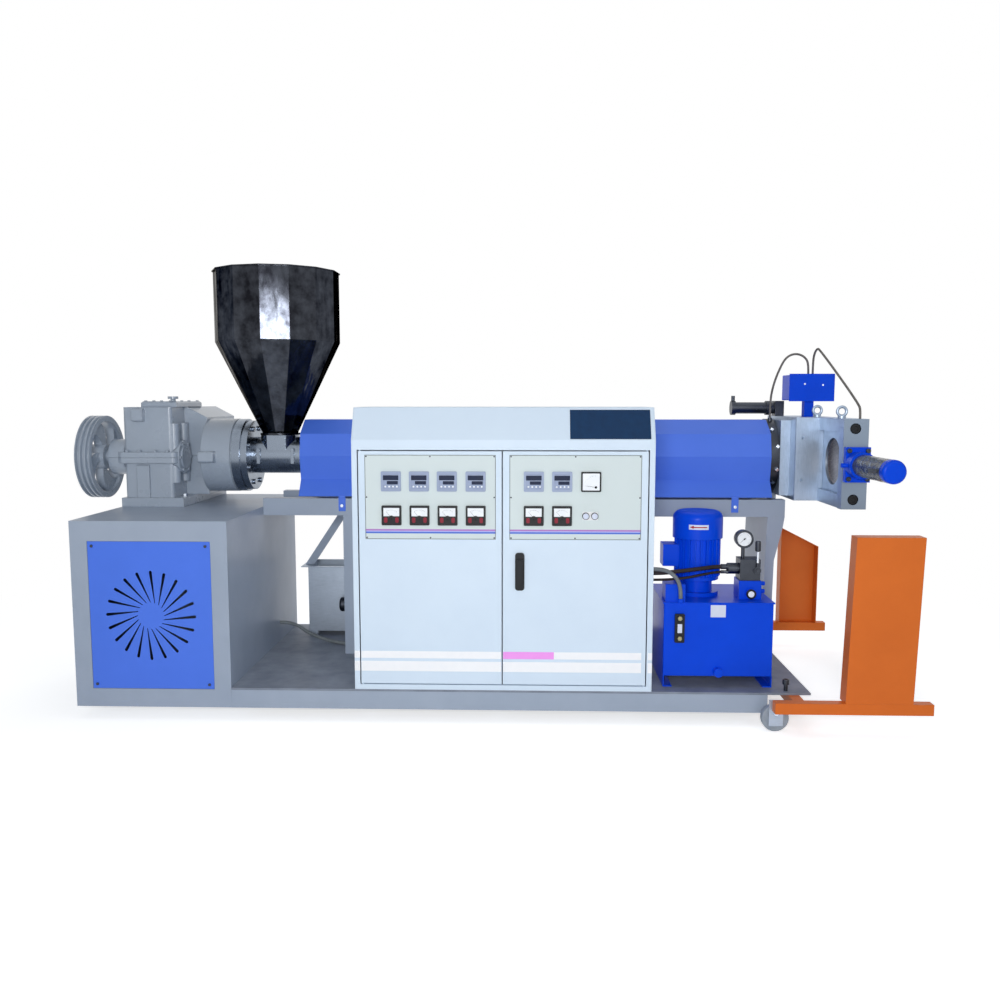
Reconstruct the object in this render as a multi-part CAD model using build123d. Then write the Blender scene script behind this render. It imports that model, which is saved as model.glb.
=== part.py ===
from build123d import *
import math
import os

# A single screw plastic extruder with its drive housing, gearbox, hopper, covered
# barrel, control cabinet, slide plate screen changer and hydraulic power pack.
# X runs along the barrel, Y runs to the back and Z runs up from the floor.
# The front of the base lies at Y zero. The finished pieces are moved at the end,
# so that the origin is under the middle of the machine.

# Clearances shared by the whole machine
cut_over = 2.0
seat_gap = 0.3
run_gap = 5.0
pin_gap = 0.05

# Barrel axis, which the gearbox output, feed barrel and screen changer share.
# Its rise is counted from the top of the drive housing.
axis_y = 670.0
axis_rise = 205.0

# Base frame of welded channels, with a platform plate on top
base_left = -1112.0
base_length = 1987.0
base_depth = 1000.0
floor_clearance = 48.0
channel_height = 68.0
channel_flange = 45.0
channel_wall = 6.0
cross_channel_count = 5
plate_thickness = 8.0
plate_overhang = 157.0

# Levelling feet
foot_pad_radius = 34.0
foot_pad_height = 12.0
foot_stud_radius = 9.0
foot_inset = 175.0

# Drive housing, which stands at the left end of the base
housing_width = 587.0
housing_height = 702.0
housing_wall = 4.0
housing_front_wall = 6.0
vent_width = 458.0
vent_height = 556.0
vent_left_border = 65.0
vent_bottom_border = 70.0
vent_thickness = 2.0
vent_recess = 1.5
vent_play = 1.0
vent_lip = 16.0
vent_slots = 20
slot_inner_radius = 50.0
slot_outer_radius = 172.0
slot_inner_width = 2.4
slot_outer_width = 11.0
slot_skew = 24.0
vent_screw_radius = 6.0
vent_screw_height = 3.0
vent_screw_inset = 17.0

# Gearbox casting on the housing top
gearbox_reach = 571.0
gearbox_front = 465.0
gearbox_depth = 520.0
gearbox_height = 413.0
gearbox_nose_width = 203.0
gearbox_nose_depth = 150.0
gearbox_full_width = 300.0
gearbox_slope = 45.0
gearbox_slope_start = 215.0
gearbox_fillet = 14.0
base_flange_thickness = 38.0
base_flange_margin = 14.0
base_flange_width = 262.0
split_flange_half = 23.0
split_flange_margin = 22.0
input_axis_y = 530.0
tower_radius = 21.0
tower_height = 118.0
tower_low_height = 84.0
tower_offsets = [24.0, 130.0]
boss_radius = 74.0
boss_length = 66.0
lug_width = 47.0
lug_height = 58.0
lug_depth = 26.0
lug_offset = 45.0
lug_round_share = 0.33
pad_width = 54.0
pad_depth = 9.0
pad_offset = 52.0
cap_radius = 70.0
cap_thickness = 22.0
cap_face_radius = 50.0
cap_face_thickness = 12.0
cap_screws = 6
cap_screw_radius = 6.0
cover_plate_left = 73.0
cover_plate_width = 148.0
cover_plate_depth = 300.0
cover_plate_setback = 14.0
cover_plate_thickness = 24.0
cover_pad_thickness = 7.0
breather_radius = 21.0
breather_height = 20.0
bell_radius = 157.0
bell_length = 129.0
bell_step = 5.0
bell_lug_width = 64.0
bell_lug_depth = 30.0
bell_lug_height = 46.0

# Input pulley, open to view, with curved arms between hub and rim
pulley_radius = 172.0
pulley_rim = 24.0
pulley_width = 62.0
groove_count = 3
groove_depth = 12.0
hub_radius = 52.0
hub_length = 66.0
hub_gap = 30.0
shaft_radius = 24.0
arm_count = 4
arm_thickness = 34.0
arm_sweep_share = 0.62
arm_width_share = 0.34
arm_bow_share = 0.3
arm_root_share = 0.8
arm_rim_share = 0.7
groove_half_share = 0.36

# Flange pair between the gearbox and the feed barrel
ring_radius = 156.0
ring_thickness = 36.0
flange_radius = 149.0
flange_thickness = 28.0
flange_bolts = 8
flange_bolt_radius = 11.0
flange_bolt_height = 9.0
flange_bolt_circle = 122.0

# Feed barrel and hopper
feed_radius = 78.0
feed_length = 228.0
feed_rib_width = 14.0
feed_rib_height = 66.0
feed_rib_proud = 7.0
feed_rib_inset = 25.0
feed_rib_pitch = 146.0
feed_rib_root_share = 0.33
throat_radius = 44.0
throat_depth = 70.0
saddle_size = 148.0
saddle_top = 88.0
hopper_offset = 108.0
hopper_sides = 14
hopper_turn = 12.4
hopper_radius = 262.0
hopper_mouth_height = 296.0
hopper_cone_height = 386.0
hopper_neck_radius = 75.0
hopper_wall = 3.0
hopper_bead = 5.0
hopper_flange_radius = 84.0
hopper_flange_thickness = 8.0

# Barrel with heater bands under its folded cover
barrel_radius = 58.0
heater_radius = 74.0
heater_count = 5
heater_share = 0.8
cover_length = 1956.0
cover_sheet = 2.0
cover_fold_share = 0.5
cover_half_widths = [190.0, 142.0, 160.0, 140.0, 50.0]
cover_heights = [-161.0, -94.0, 5.0, 97.0, 154.0]
cover_tab_width = 29.0
cover_tab_drop = 62.0
cover_tab_places = [167.0, 1790.0]

# Support frame under the barrel
beam_height = 71.0
beam_width = 50.0
beam_wall = 4.0
beam_drop = 170.0
beam_past_adapter = 18.0
tie_count = 4
tie_width = 60.0
saddle_width = 40.0
pedestal_width_top = 70.0
pedestal_width_mid = 64.0
pedestal_width_foot = 39.0
pedestal_lean = 15.0
pedestal_kink_high_drop = 40.0
pedestal_kink_low_drop = 181.0
pedestal_sheet = 4.0
post_width = 40.0
front_post_places = [334.0, 1300.0]
back_post_places = [600.0, 1300.0]
brace_width = 40.0
brace_thickness = 6.0
brace_run = 182.0

# Water box behind the cabinet, with its circulation pump
box_left = -1005.0
box_length = 420.0
box_setback = 200.0
box_depth = 186.0
box_height = 300.0
box_foot_height = 18.0
box_foot_size = 40.0
box_wall = 3.0
box_rim = 30.0
pump_radius = 32.0
pump_length = 190.0
pump_offset = 150.0
pump_height = 150.0
pump_foot_width = 40.0
pump_round_share = 0.33

# Control cabinet with a sloping head and two doors
cabinet_left = -647.0
cabinet_width = 1097.0
cabinet_depth = 380.0
cabinet_height = 1042.0
cabinet_knee = 926.0
cabinet_slope = 58.0
cabinet_wall = 3.0
cabinet_side_border = 24.0
plinth_height = 19.0
door_top = 1013.0
door_split = -100.0
door_thickness = 20.0
door_skin = 2.0
door_edge = 14.0
door_gap = 4.0
hinge_inset = 6.0
hinge_pin_radius = 3.0
hinge_pin_length = 14.0
panel_thickness = 3.0
panel_width = 476.0
panel_height = 308.0
panel_bottom = 688.0
left_panel_inset = 24.0
right_panel_inset = 24.0
name_plate_width = 284.0
name_plate_left = 134.0
name_plate_height = 98.0
name_plate_thickness = 1.5
name_plate_rise = 14.0

# Instruments on the two panels
meter_size = 72.0
meter_corner = 4.0
meter_depth = 9.0
meter_lens_inset = 9.0
meter_lens_recess = 2.0
upper_row = 900.0
lower_row = 776.0
left_upper_places = [96.0, 198.0, 299.0, 403.0]
left_lower_places = [97.0, 199.0, 301.0, 403.0]
right_upper_places = [88.0, 190.0, 294.0]
right_lower_places = [88.0, 190.0]
button_places = [276.0, 308.0]
button_radius = 13.0
button_depth = 12.0
handle_width = 34.0
handle_height = 139.0
handle_bottom = 501.0
handle_depth = 16.0
handle_from_split = 64.0
grip_width = 22.0
grip_height = 92.0
grip_depth = 12.0
handle_round_share = 0.33

# Screen changer with a sliding plate
end_flange_radius = 156.0
end_flange_thickness = 35.0
end_flange_bolts = 8
end_flange_bolt_radius = 10.0
end_flange_bolt_height = 12.0
end_flange_bolt_circle = 130.0
adapter_size = 310.0
adapter_thickness = 40.0
changer_width = 181.0
changer_half_depth = 228.0
changer_height = 336.0
changer_chamfer = 3.0
arm_width = 87.0
frame_reach = 264.0
end_block_thickness = 45.0
end_block_width = 122.0
end_screw_radius = 20.0
end_screw_depth = 16.0
end_screw_inset = 36.0
end_screw_share = 0.6
end_screw_seat_share = 0.33
face_hole_radius = 6.0
face_hole_depth = 20.0
face_hole_inset = 27.0
face_hole_pitch = 170.0
slide_thickness = 50.0
slide_height = 234.0
slide_pitch = 350.0
slide_end_margin = 122.0
breaker_radius = 91.0
breaker_recess = 16.0
breaker_hole_radius = 6.5
breaker_hole_pitch = 26.0
breaker_rings = 2
die_bore_radius = 40.0
die_bolt_radius = 9.0
die_bolt_circle = 85.0
die_bolt_depth = 14.0
die_bolt_count = 6
eye_ring_radius = 17.0
eye_rod_radius = 5.5
eye_collar_radius = 15.0
eye_collar_height = 10.0
eye_inset = 13.0
eye_setback = 78.0

# Slide cylinder, which points to the front
cylinder_flange_width = 90.0
cylinder_flange_height = 130.0
cylinder_flange_thickness = 26.0
cylinder_neck_radius = 49.0
cylinder_neck_length = 56.0
cylinder_tube_radius = 38.0
cylinder_tube_length = 262.0
cylinder_cap_radius = 41.0
cylinder_cap_length = 34.0
cap_round_share = 0.33
port_radius = 8.0
port_length = 22.0
rod_radius = 17.0
rod_length = 380.0

# Clamp cylinder behind the cover, and the heater junction box
clamp_radius = 25.0
clamp_length = 186.0
clamp_y = 800.0
clamp_axis_rise = 22.0
clamp_foot_length = 38.0
clamp_foot_width = 62.0
clamp_collar_radius = 31.0
clamp_collar_length = 18.0
junction_width = 177.0
junction_depth = 120.0
junction_height = 105.0
junction_rise = 68.0
junction_from_body = 4.0
junction_front = 560.0
junction_lid = 4.0
junction_post_width = 38.0
junction_post_offset = 72.0

# Hydraulic power pack
tank_setback = 375.0
tank_width = 405.0
tank_front = 66.0
tank_depth = 350.0
tank_height = 275.0
tank_foot_height = 42.0
tank_foot_width = 34.0
tank_lid_margin = 4.0
tank_lid_thickness = 5.0
filler_width = 74.0
filler_depth = 90.0
filler_height = 66.0
filler_inset = 5.0
drain_radius = 17.0
drain_length = 22.0
drain_offset = 203.0
motor_offset = 149.0
motor_y = 240.0
motor_flange_radius = 82.0
motor_flange_height = 14.0
motor_neck_radius = 58.0
motor_neck_height = 46.0
motor_body_radius = 79.0
motor_body_height = 160.0
motor_fin_height = 9.0
motor_fin_width = 5.0
motor_fins = 24
cowl_radius = 95.0
cowl_height = 105.0
cowl_round = 30.0
terminal_width = 58.0
terminal_depth = 84.0
terminal_height = 84.0
terminal_low_share = 0.33
manifold_left = 288.0
manifold_width = 84.0
manifold_depth = 90.0
manifold_height = 70.0
manifold_front = 60.0
manifold_cap_radius = 17.0
manifold_cap_length = 18.0
manifold_low_port_share = 0.33
manifold_high_port_share = 0.75
valve_width = 76.0
valve_depth = 78.0
valve_height = 80.0
solenoid_radius = 21.0
solenoid_length = 40.0
gauge_radius = 33.0
gauge_depth = 24.0
gauge_stem_radius = 7.0
gauge_stem_height = 42.0
gauge_lens_recess = 2.0
gauge_place_share = 0.25
lever_pin_radius = 7.0
lever_pin_length = 18.0
lever_rod_radius = 4.5
lever_length = 92.0
lever_knob_radius = 11.0
lever_knob_length = 40.0
lever_hub_radius = 13.0
lever_hub_length = 12.0
level_width = 36.0
level_height = 108.0
level_depth = 12.0
level_from_left = 40.0
level_bottom = 129.0

# Outfeed stand, which is bolted under the overhang of the platform
stand_front = -110.0
stand_past_base = 160.0
stand_bar = 40.0
stand_bottom = 80.0
stand_right = 1432.0
stand_cross_offset = 75.0
upright_left = 1121.0
upright_width = 256.0
upright_height = 597.0
upright_depth = 62.0
upright_sheet = 3.0
back_upright_left = 1203.0
back_upright_width = 177.0
back_upright_height = 466.0
back_upright_fall = 90.0
back_upright_fold_share = 1.2
upright_lean = 18.0
wheel_radius = 49.0
wheel_width = 30.0
wheel_round_share = 0.17
wheel_bore = 8.0
wheel_past_base = 14.0
wheel_hub_radius = 20.0
wheel_hub_proud = 2.0
bracket_width = 52.0
bracket_sheet = 4.0
gap_past_wheel = 6.0

# Cables and hoses. Each route is a list of points from end to end, and each corner
# is an arc that takes this share of the shorter run beside it.
arc_share = 0.45
motor_cable_radius = 8.0
motor_cable_route = [
    (-1112, 700, 205),
    (-1050, 700, 205),
    (-983, 692, 158),
    (-896, 668, 132),
    (-790, 612, 132.5),
    (-684, 548, 132),
    (-572, 506, 133),
    (-504, 498, 142),
    (-440, 494, 159),
    (-384, 486, 173),
    (-348, 460, 183),
    (-328, 422, 188),
    (-328, 380, 188),
]
conduit_radius = 8.0
conduit_route = [
    (450, 64, 571),
    (496, 64, 571),
    (536, 61.5, 548.5),
    (559, 57, 508),
    (559, 57, 462),
]
upper_hose_radius = 8.0
upper_hose_route = [
    (752, 160, 564),
    (712, 160, 564),
    (652, 132, 562),
    (572, 113, 555),
    (494, 104, 548),
    (450, 104, 548),
]
lower_hose_radius = 5.0
lower_hose_route = [
    (752, 160, 544),
    (712, 160, 544),
    (656, 137, 538),
    (580, 119, 526),
    (505, 112, 521),
    (450, 112, 521),
]
lead_radius = 4.5
front_lead_route = [
    (1190, 650, 1296),
    (1190, 650, 1358),
    (1190, 632.5, 1387),
    (1190, 602.5, 1403),
    (1190, 568.5, 1402),
    (1222, 165.5, 1176),
    (1222, 152, 1151),
    (1222, 152, 1123),
]
left_lead_route = [
    (1166, 630, 1296),
    (1166, 630, 1344),
    (1151, 630, 1370),
    (1124, 630, 1384),
    (1094, 630, 1382.5),
    (1069, 630, 1365.5),
    (1050, 630, 1331),
    (1028, 630, 1275),
    (1014, 630, 1216),
    (1011.5, 630, 1162),
    (1011.5, 630, 1118),
]
lead_boss_radius = 9.0
elbow_radius = 11.0
elbow_height = 14.0

# Places worked out from the driving dimensions
base_right = base_left + base_length
channel_top = floor_clearance + channel_height
platform = channel_top + plate_thickness
housing_left = base_left - housing_width
housing_top = floor_clearance + housing_height
axis_z = housing_top + axis_rise
gearbox_left = base_left - gearbox_reach
gearbox_top = housing_top + gearbox_height
gearbox_nose_right = gearbox_left + gearbox_nose_width
gearbox_right = gearbox_left + gearbox_full_width
gearbox_back = gearbox_front + gearbox_depth
ring_left = gearbox_right + bell_length
flange_left = ring_left + ring_thickness
feed_left = flange_left + flange_thickness
feed_right = feed_left + feed_length
hopper_x = feed_left + hopper_offset
hopper_foot = axis_z + saddle_top
cone_foot = hopper_foot + hopper_flange_thickness
cone_top = cone_foot + hopper_cone_height
end_flange_left = feed_right + cover_length
box_front = base_depth - box_setback
stand_left = base_right
wheel_x = base_right + wheel_past_base
tank_left = base_right - tank_setback
stand_back = base_depth + stand_past_base
beam_top = axis_z - beam_drop
beam_bottom = beam_top - beam_height
beam_front = axis_y - cover_half_widths[0] + cover_sheet
beam_back = axis_y + cover_half_widths[0] - cover_sheet
adapter_left = end_flange_left + end_flange_thickness
beam_right = adapter_left + beam_past_adapter
beam_length = beam_right - base_left
changer_left = adapter_left + adapter_thickness
changer_right = changer_left + changer_width
changer_front = axis_y - changer_half_depth
changer_bottom = axis_z - changer_height / 2
changer_top = axis_z + changer_height / 2
arm_left = changer_right - arm_width
slide_x = changer_right - arm_width / 2 - seat_gap
end_block_back = changer_front - frame_reach
end_block_front = end_block_back - end_block_thickness
end_block_left = changer_right - end_block_width
slide_front = axis_y - slide_pitch - slide_end_margin
slide_back = axis_y + slide_end_margin
tank_bottom = platform + tank_foot_height
tank_top = tank_bottom + tank_height
tank_right = tank_left + tank_width
lid_top = tank_top + tank_lid_thickness
cabinet_right = cabinet_left + cabinet_width
cabinet_top = platform + cabinet_height
door_bottom = platform + plinth_height
door_left = cabinet_left + cabinet_side_border
door_right = cabinet_right - cabinet_side_border
knee_height = platform + cabinet_knee


def block(x0, x1, y0, y1, z0, z1):
    """A rectangular block between two corners."""
    middle = Pos((x0 + x1) / 2, (y0 + y1) / 2, (z0 + z1) / 2)
    return middle * Box(x1 - x0, y1 - y0, z1 - z0)


def rod_x(radius, x0, x1, y, z):
    """A round bar along X."""
    return Pos((x0 + x1) / 2, y, z) * Rot(0, 90, 0) * Cylinder(radius, x1 - x0)


def rod_y(radius, y0, y1, x, z):
    """A round bar along Y."""
    return Pos(x, (y0 + y1) / 2, z) * Rot(90, 0, 0) * Cylinder(radius, y1 - y0)


def rod_z(radius, z0, z1, x, y):
    """A round bar along Z."""
    return Pos(x, y, (z0 + z1) / 2) * Cylinder(radius, z1 - z0)


def prism_x(outline, x0, x1):
    """An outline of (y, z) points pulled along X."""
    points = [(x0, y, z) for y, z in outline]
    face = make_face(Polyline(*points, close=True))
    return extrude(face, amount=x1 - x0, dir=(1, 0, 0))


def prism_y(outline, y0, y1):
    """An outline of (x, z) points pulled along Y."""
    points = [(x, y0, z) for x, z in outline]
    face = make_face(Polyline(*points, close=True))
    return extrude(face, amount=y1 - y0, dir=(0, 1, 0))


def joined(pieces):
    """One solid or group from a list of pieces."""
    whole = pieces[0]
    for piece in pieces[1:]:
        whole = whole + piece
    return whole


def ring_of(count, radius, turn=0.0):
    """Evenly spaced places on a circle."""
    step = 2 * math.pi / count
    return [
        (radius * math.cos(turn + step * i), radius * math.sin(turn + step * i))
        for i in range(count)
    ]


def channel_along_x(x0, x1, web_y, inward):
    """A channel with its web on one side and its flanges pointing inward."""
    far_y = web_y + inward * channel_flange
    whole = block(x0, x1, min(web_y, far_y), max(web_y, far_y), floor_clearance, channel_top)
    near = web_y + inward * channel_wall
    past = far_y + inward * cut_over
    hollow = block(
        x0 - cut_over,
        x1 + cut_over,
        min(near, past),
        max(near, past),
        floor_clearance + channel_wall,
        channel_top - channel_wall,
    )
    return whole - hollow


def cross_channel_places():
    """Left faces of the cross channels."""
    pitch = (base_length - channel_flange) / (cross_channel_count - 1)
    return [base_left + pitch * i for i in range(cross_channel_count)]


def base_frame():
    front = channel_along_x(base_left, base_right, 0, 1)
    back = channel_along_x(base_left, base_right, base_depth, -1)
    pieces = [front, back]
    for left in cross_channel_places():
        whole = block(
            left,
            left + channel_flange,
            channel_wall,
            base_depth - channel_wall,
            floor_clearance,
            channel_top,
        )
        hollow = block(
            left + channel_wall,
            left + channel_flange - channel_wall,
            channel_wall - cut_over,
            base_depth - channel_wall + cut_over,
            floor_clearance + channel_wall,
            channel_top - channel_wall,
        )
        pieces.append(whole - hollow)
    return joined(pieces)


def platform_plate():
    return block(base_left, base_right + plate_overhang, 0, base_depth, channel_top, platform)


def levelling_feet():
    first, second, middle_left, fourth, last_left = cross_channel_places()
    housing_inset = foot_inset / 2
    columns = [
        housing_left + housing_inset,
        base_left - housing_inset,
        middle_left + channel_flange / 2,
        last_left + channel_flange / 2,
    ]
    feet = []
    for x in columns:
        for y in (foot_inset, base_depth - foot_inset):
            pad = rod_z(foot_pad_radius, 0, foot_pad_height, x, y)
            stud = rod_z(foot_stud_radius, foot_pad_height, floor_clearance, x, y)
            feet.append(pad + stud)
    return joined(feet)


def vent_box(margin):
    """The X and Z limits of the vent panel, grown by a margin."""
    x0 = housing_left + vent_left_border - margin
    x1 = housing_left + vent_left_border + vent_width + margin
    z0 = floor_clearance + vent_bottom_border - margin
    z1 = floor_clearance + vent_bottom_border + vent_height + margin
    return x0, x1, z0, z1


def drive_housing():
    shell = block(housing_left, base_left, 0, base_depth, floor_clearance, housing_top)
    hollow = block(
        housing_left + housing_wall,
        base_left - housing_wall,
        housing_front_wall,
        base_depth - housing_wall,
        floor_clearance + housing_wall,
        housing_top - housing_wall,
    )
    seat_x0, seat_x1, seat_z0, seat_z1 = vent_box(vent_play)
    seat = block(seat_x0, seat_x1, -cut_over, vent_recess + vent_thickness, seat_z0, seat_z1)
    x0, x1, z0, z1 = vent_box(-vent_lip)
    window = block(x0, x1, -cut_over, housing_front_wall + cut_over, z0, z1)
    return shell - hollow - seat - window


def vent_slot():
    """One tapered slot with a round outer end, before it is turned into place."""
    inner = slot_inner_width / 2
    outer = slot_outer_width / 2
    end = slot_outer_radius - outer
    sides = Polyline(
        (slot_inner_radius, -inner),
        (end, -outer),
        (end, outer),
        (slot_inner_radius, inner),
        close=True,
    )
    return make_face(sides) + Pos(end, 0) * Circle(outer)


def vent_panel():
    x0, x1, z0, z1 = vent_box(0)
    plate = block(x0, x1, vent_recess, vent_recess + vent_thickness, z0, z1)
    middle_x = (x0 + x1) / 2
    middle_z = (z0 + z1) / 2
    start = slot_inner_radius
    for i in range(vent_slots):
        turn = 360.0 / vent_slots * i
        skewed = Pos(start, 0) * Rot(0, 0, slot_skew) * Pos(-start, 0) * vent_slot()
        face = Rot(0, 0, turn) * skewed
        cutter = extrude(face, amount=vent_thickness + cut_over)
        plate = plate - Pos(middle_x, vent_recess + vent_thickness + cut_over / 2, middle_z) * Rot(
            90, 0, 0
        ) * cutter
    screws = []
    for x in (x0 + vent_screw_inset, x1 - vent_screw_inset):
        for z in (z0 + vent_screw_inset, z1 - vent_screw_inset):
            screws.append(
                rod_y(vent_screw_radius, vent_recess - vent_screw_height, vent_recess, x, z)
            )
    return joined([plate] + screws)


def upper_outline():
    """The casing's end view above the split, for its full width."""
    return [
        (gearbox_left, axis_z),
        (gearbox_left, gearbox_top - gearbox_fillet),
        (gearbox_left + gearbox_fillet, gearbox_top),
        (gearbox_left + gearbox_slope_start, gearbox_top),
        (gearbox_right, gearbox_top - gearbox_slope),
        (gearbox_right, axis_z),
    ]


def rounded_nose(z0, z1):
    """The front part of the casing, with rounded upright edges."""
    nose = block(
        gearbox_left,
        gearbox_nose_right,
        gearbox_front,
        gearbox_front + gearbox_nose_depth,
        z0,
        z1,
    )
    front_edges = nose.edges().filter_by(Axis.Z).group_by(Axis.Y)[0]
    return fillet(front_edges, gearbox_fillet)


def split_flange(z0, z1):
    """The flange ring at the height of the shafts."""
    outer = block(
        gearbox_left - split_flange_margin,
        gearbox_nose_right + split_flange_margin,
        gearbox_front - split_flange_margin,
        gearbox_front + gearbox_nose_depth,
        z0,
        z1,
    )
    front_edges = outer.edges().filter_by(Axis.Z).group_by(Axis.Y)[0]
    outer = fillet(front_edges, split_flange_margin)
    rear = block(
        gearbox_left - split_flange_margin,
        gearbox_right,
        gearbox_front + gearbox_nose_depth,
        gearbox_back + split_flange_margin,
        z0,
        z1,
    )
    return outer + rear


def towers(z0, z1):
    """Upright bolt towers beside the bearing seats."""
    x = gearbox_nose_right
    pieces = []
    for offset in tower_offsets:
        tower = rod_z(tower_radius, z0, z1, x, gearbox_front + offset)
        pieces.append(tower)
    return joined(pieces)


def bearing_boss():
    """Round seat of the input shaft on the left side."""
    return rod_x(boss_radius, gearbox_left - boss_length, gearbox_left, input_axis_y, axis_z)


def input_bore():
    return rod_x(
        shaft_radius + pin_gap,
        gearbox_left - boss_length - cut_over,
        gearbox_nose_right - cap_thickness,
        input_axis_y,
        axis_z,
    )


def gearbox_lower_case():
    z0 = housing_top + base_flange_thickness
    flange = block(
        gearbox_left - base_flange_margin + cut_over,
        gearbox_left - base_flange_margin + base_flange_width,
        gearbox_front - base_flange_margin,
        gearbox_back + base_flange_margin,
        housing_top,
        z0,
    )
    rear = block(
        gearbox_left,
        gearbox_right,
        gearbox_front + gearbox_nose_depth,
        gearbox_back,
        z0,
        axis_z,
    )
    low_rim = split_flange(axis_z - split_flange_half, axis_z)
    pad_left = gearbox_left + pad_offset
    pad = block(
        pad_left,
        pad_left + pad_width,
        gearbox_front - pad_depth,
        gearbox_front + pad_depth,
        z0,
        axis_z - split_flange_half - pad_depth,
    )
    stand = towers(axis_z - split_flange_half - tower_low_height, axis_z - split_flange_half)
    boss = bearing_boss() & block(
        gearbox_left - boss_length,
        gearbox_left,
        input_axis_y - boss_radius,
        input_axis_y + boss_radius,
        axis_z - boss_radius,
        axis_z,
    )
    body = joined([flange, rounded_nose(z0, axis_z), rear, low_rim, pad, stand, boss])
    return body - input_bore()


def gearbox_upper_case():
    rear = prism_y(upper_outline(), gearbox_front + gearbox_nose_depth, gearbox_back)
    high_rim = split_flange(axis_z, axis_z + split_flange_half)
    lug_left = gearbox_left + lug_offset
    lug = block(
        lug_left,
        lug_left + lug_width,
        gearbox_front - lug_depth,
        gearbox_front + lug_depth,
        gearbox_top - lug_height,
        gearbox_top - gearbox_fillet / 2,
    )
    lug_edges = lug.edges().filter_by(Axis.X).group_by(Axis.Y)[0]
    lug = fillet(lug_edges, lug_depth * lug_round_share)
    rise = towers(axis_z + split_flange_half, axis_z + split_flange_half + tower_height)
    boss = bearing_boss() & block(
        gearbox_left - boss_length,
        gearbox_left,
        input_axis_y - boss_radius,
        input_axis_y + boss_radius,
        axis_z,
        axis_z + boss_radius,
    )
    body = joined([rounded_nose(axis_z, gearbox_top), rear, high_rim, lug, rise, boss])
    return body - input_bore()


def inspection_cover():
    x0 = gearbox_left + cover_plate_left
    x1 = x0 + cover_plate_width
    y0 = gearbox_front + cover_plate_setback
    y1 = y0 + cover_plate_depth
    lid = block(x0, x1, y0, y1, gearbox_top, gearbox_top + cover_plate_thickness)
    lid = chamfer(lid.faces().sort_by(Axis.Z)[-1].edges(), cover_pad_thickness)
    breather_x = x1 - breather_radius
    breather_y = y0 + breather_radius
    top = gearbox_top + cover_plate_thickness
    stem = rod_z(breather_radius / 2, top, top + breather_height, breather_x, breather_y)
    cap = rod_z(
        breather_radius, top + breather_height / 2, top + breather_height, breather_x, breather_y
    )
    return lid + stem + cap


def bearing_cap():
    x0 = gearbox_nose_right
    rim_right = x0 + split_flange_margin + seat_gap
    x1 = rim_right
    disc = rod_x(cap_radius, x0, x1, input_axis_y, axis_z)
    for offset in tower_offsets:
        disc = disc - rod_z(
            tower_radius + seat_gap,
            axis_z - cap_radius - cut_over,
            axis_z + cap_radius + cut_over,
            gearbox_nose_right,
            gearbox_front + offset,
        )
    rim_left = x0 - cut_over
    slot = block(
        rim_left,
        rim_right,
        input_axis_y - cap_radius - cut_over,
        input_axis_y + cap_radius + cut_over,
        axis_z - split_flange_half - seat_gap,
        axis_z + split_flange_half + seat_gap,
    )
    disc = disc - slot
    face_left = rim_right
    face = rod_x(
        cap_face_radius, face_left, face_left + cap_face_thickness, input_axis_y, axis_z
    )
    wide = rod_x(cap_radius, face_left, face_left + cap_face_thickness / 2, input_axis_y, axis_z)
    pieces = [disc, wide, face]
    between = (cap_radius + cap_face_radius) / 2
    for y, z in ring_of(cap_screws, between):
        pieces.append(
            rod_x(
                cap_screw_radius,
                face_left + cap_face_thickness / 2,
                face_left + cap_face_thickness,
                input_axis_y + y,
                axis_z + z,
            )
        )
    return joined(pieces)


def gearbox_bell():
    main = rod_x(bell_radius, gearbox_right, ring_left, axis_y, axis_z)
    step = rod_x(
        bell_radius - bell_step, ring_left - bell_step, ring_left + cut_over, axis_y, axis_z
    )
    shoulder = rod_x(
        bell_radius + cut_over, ring_left - bell_step, ring_left + cut_over, axis_y, axis_z
    )
    main = main - (shoulder - step)
    lug = block(
        gearbox_right,
        gearbox_right + bell_lug_width,
        axis_y - bell_radius - bell_lug_depth,
        axis_y,
        axis_z - bell_lug_height / 2,
        axis_z + bell_lug_height / 2,
    )
    lug_edges = lug.edges().filter_by(Axis.X).group_by(Axis.Y)[0]
    lug = fillet(lug_edges, bell_lug_depth * lug_round_share)
    return main + lug


def pulley_arm(turn):
    """One arm that bends from the hub to the rim."""
    inner = hub_radius * arm_root_share
    outer = pulley_radius - pulley_rim * arm_rim_share
    sweep = arm_sweep_share
    width = arm_width_share
    middle = (inner + outer) / 2
    bow = sweep * arm_bow_share

    def spot(radius, angle):
        return (radius * math.cos(turn + angle), radius * math.sin(turn + angle))

    low_root, high_root = spot(inner, -width), spot(inner, width)
    low_rim, high_rim = spot(outer, sweep - width), spot(outer, sweep + width)
    lead = ThreePointArc(low_root, spot(middle, bow - width), low_rim)
    rim = Line(low_rim, high_rim)
    trail = ThreePointArc(high_rim, spot(middle, bow + width), high_root)
    root = Line(high_root, low_root)
    return make_face([lead, rim, trail, root])


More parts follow.
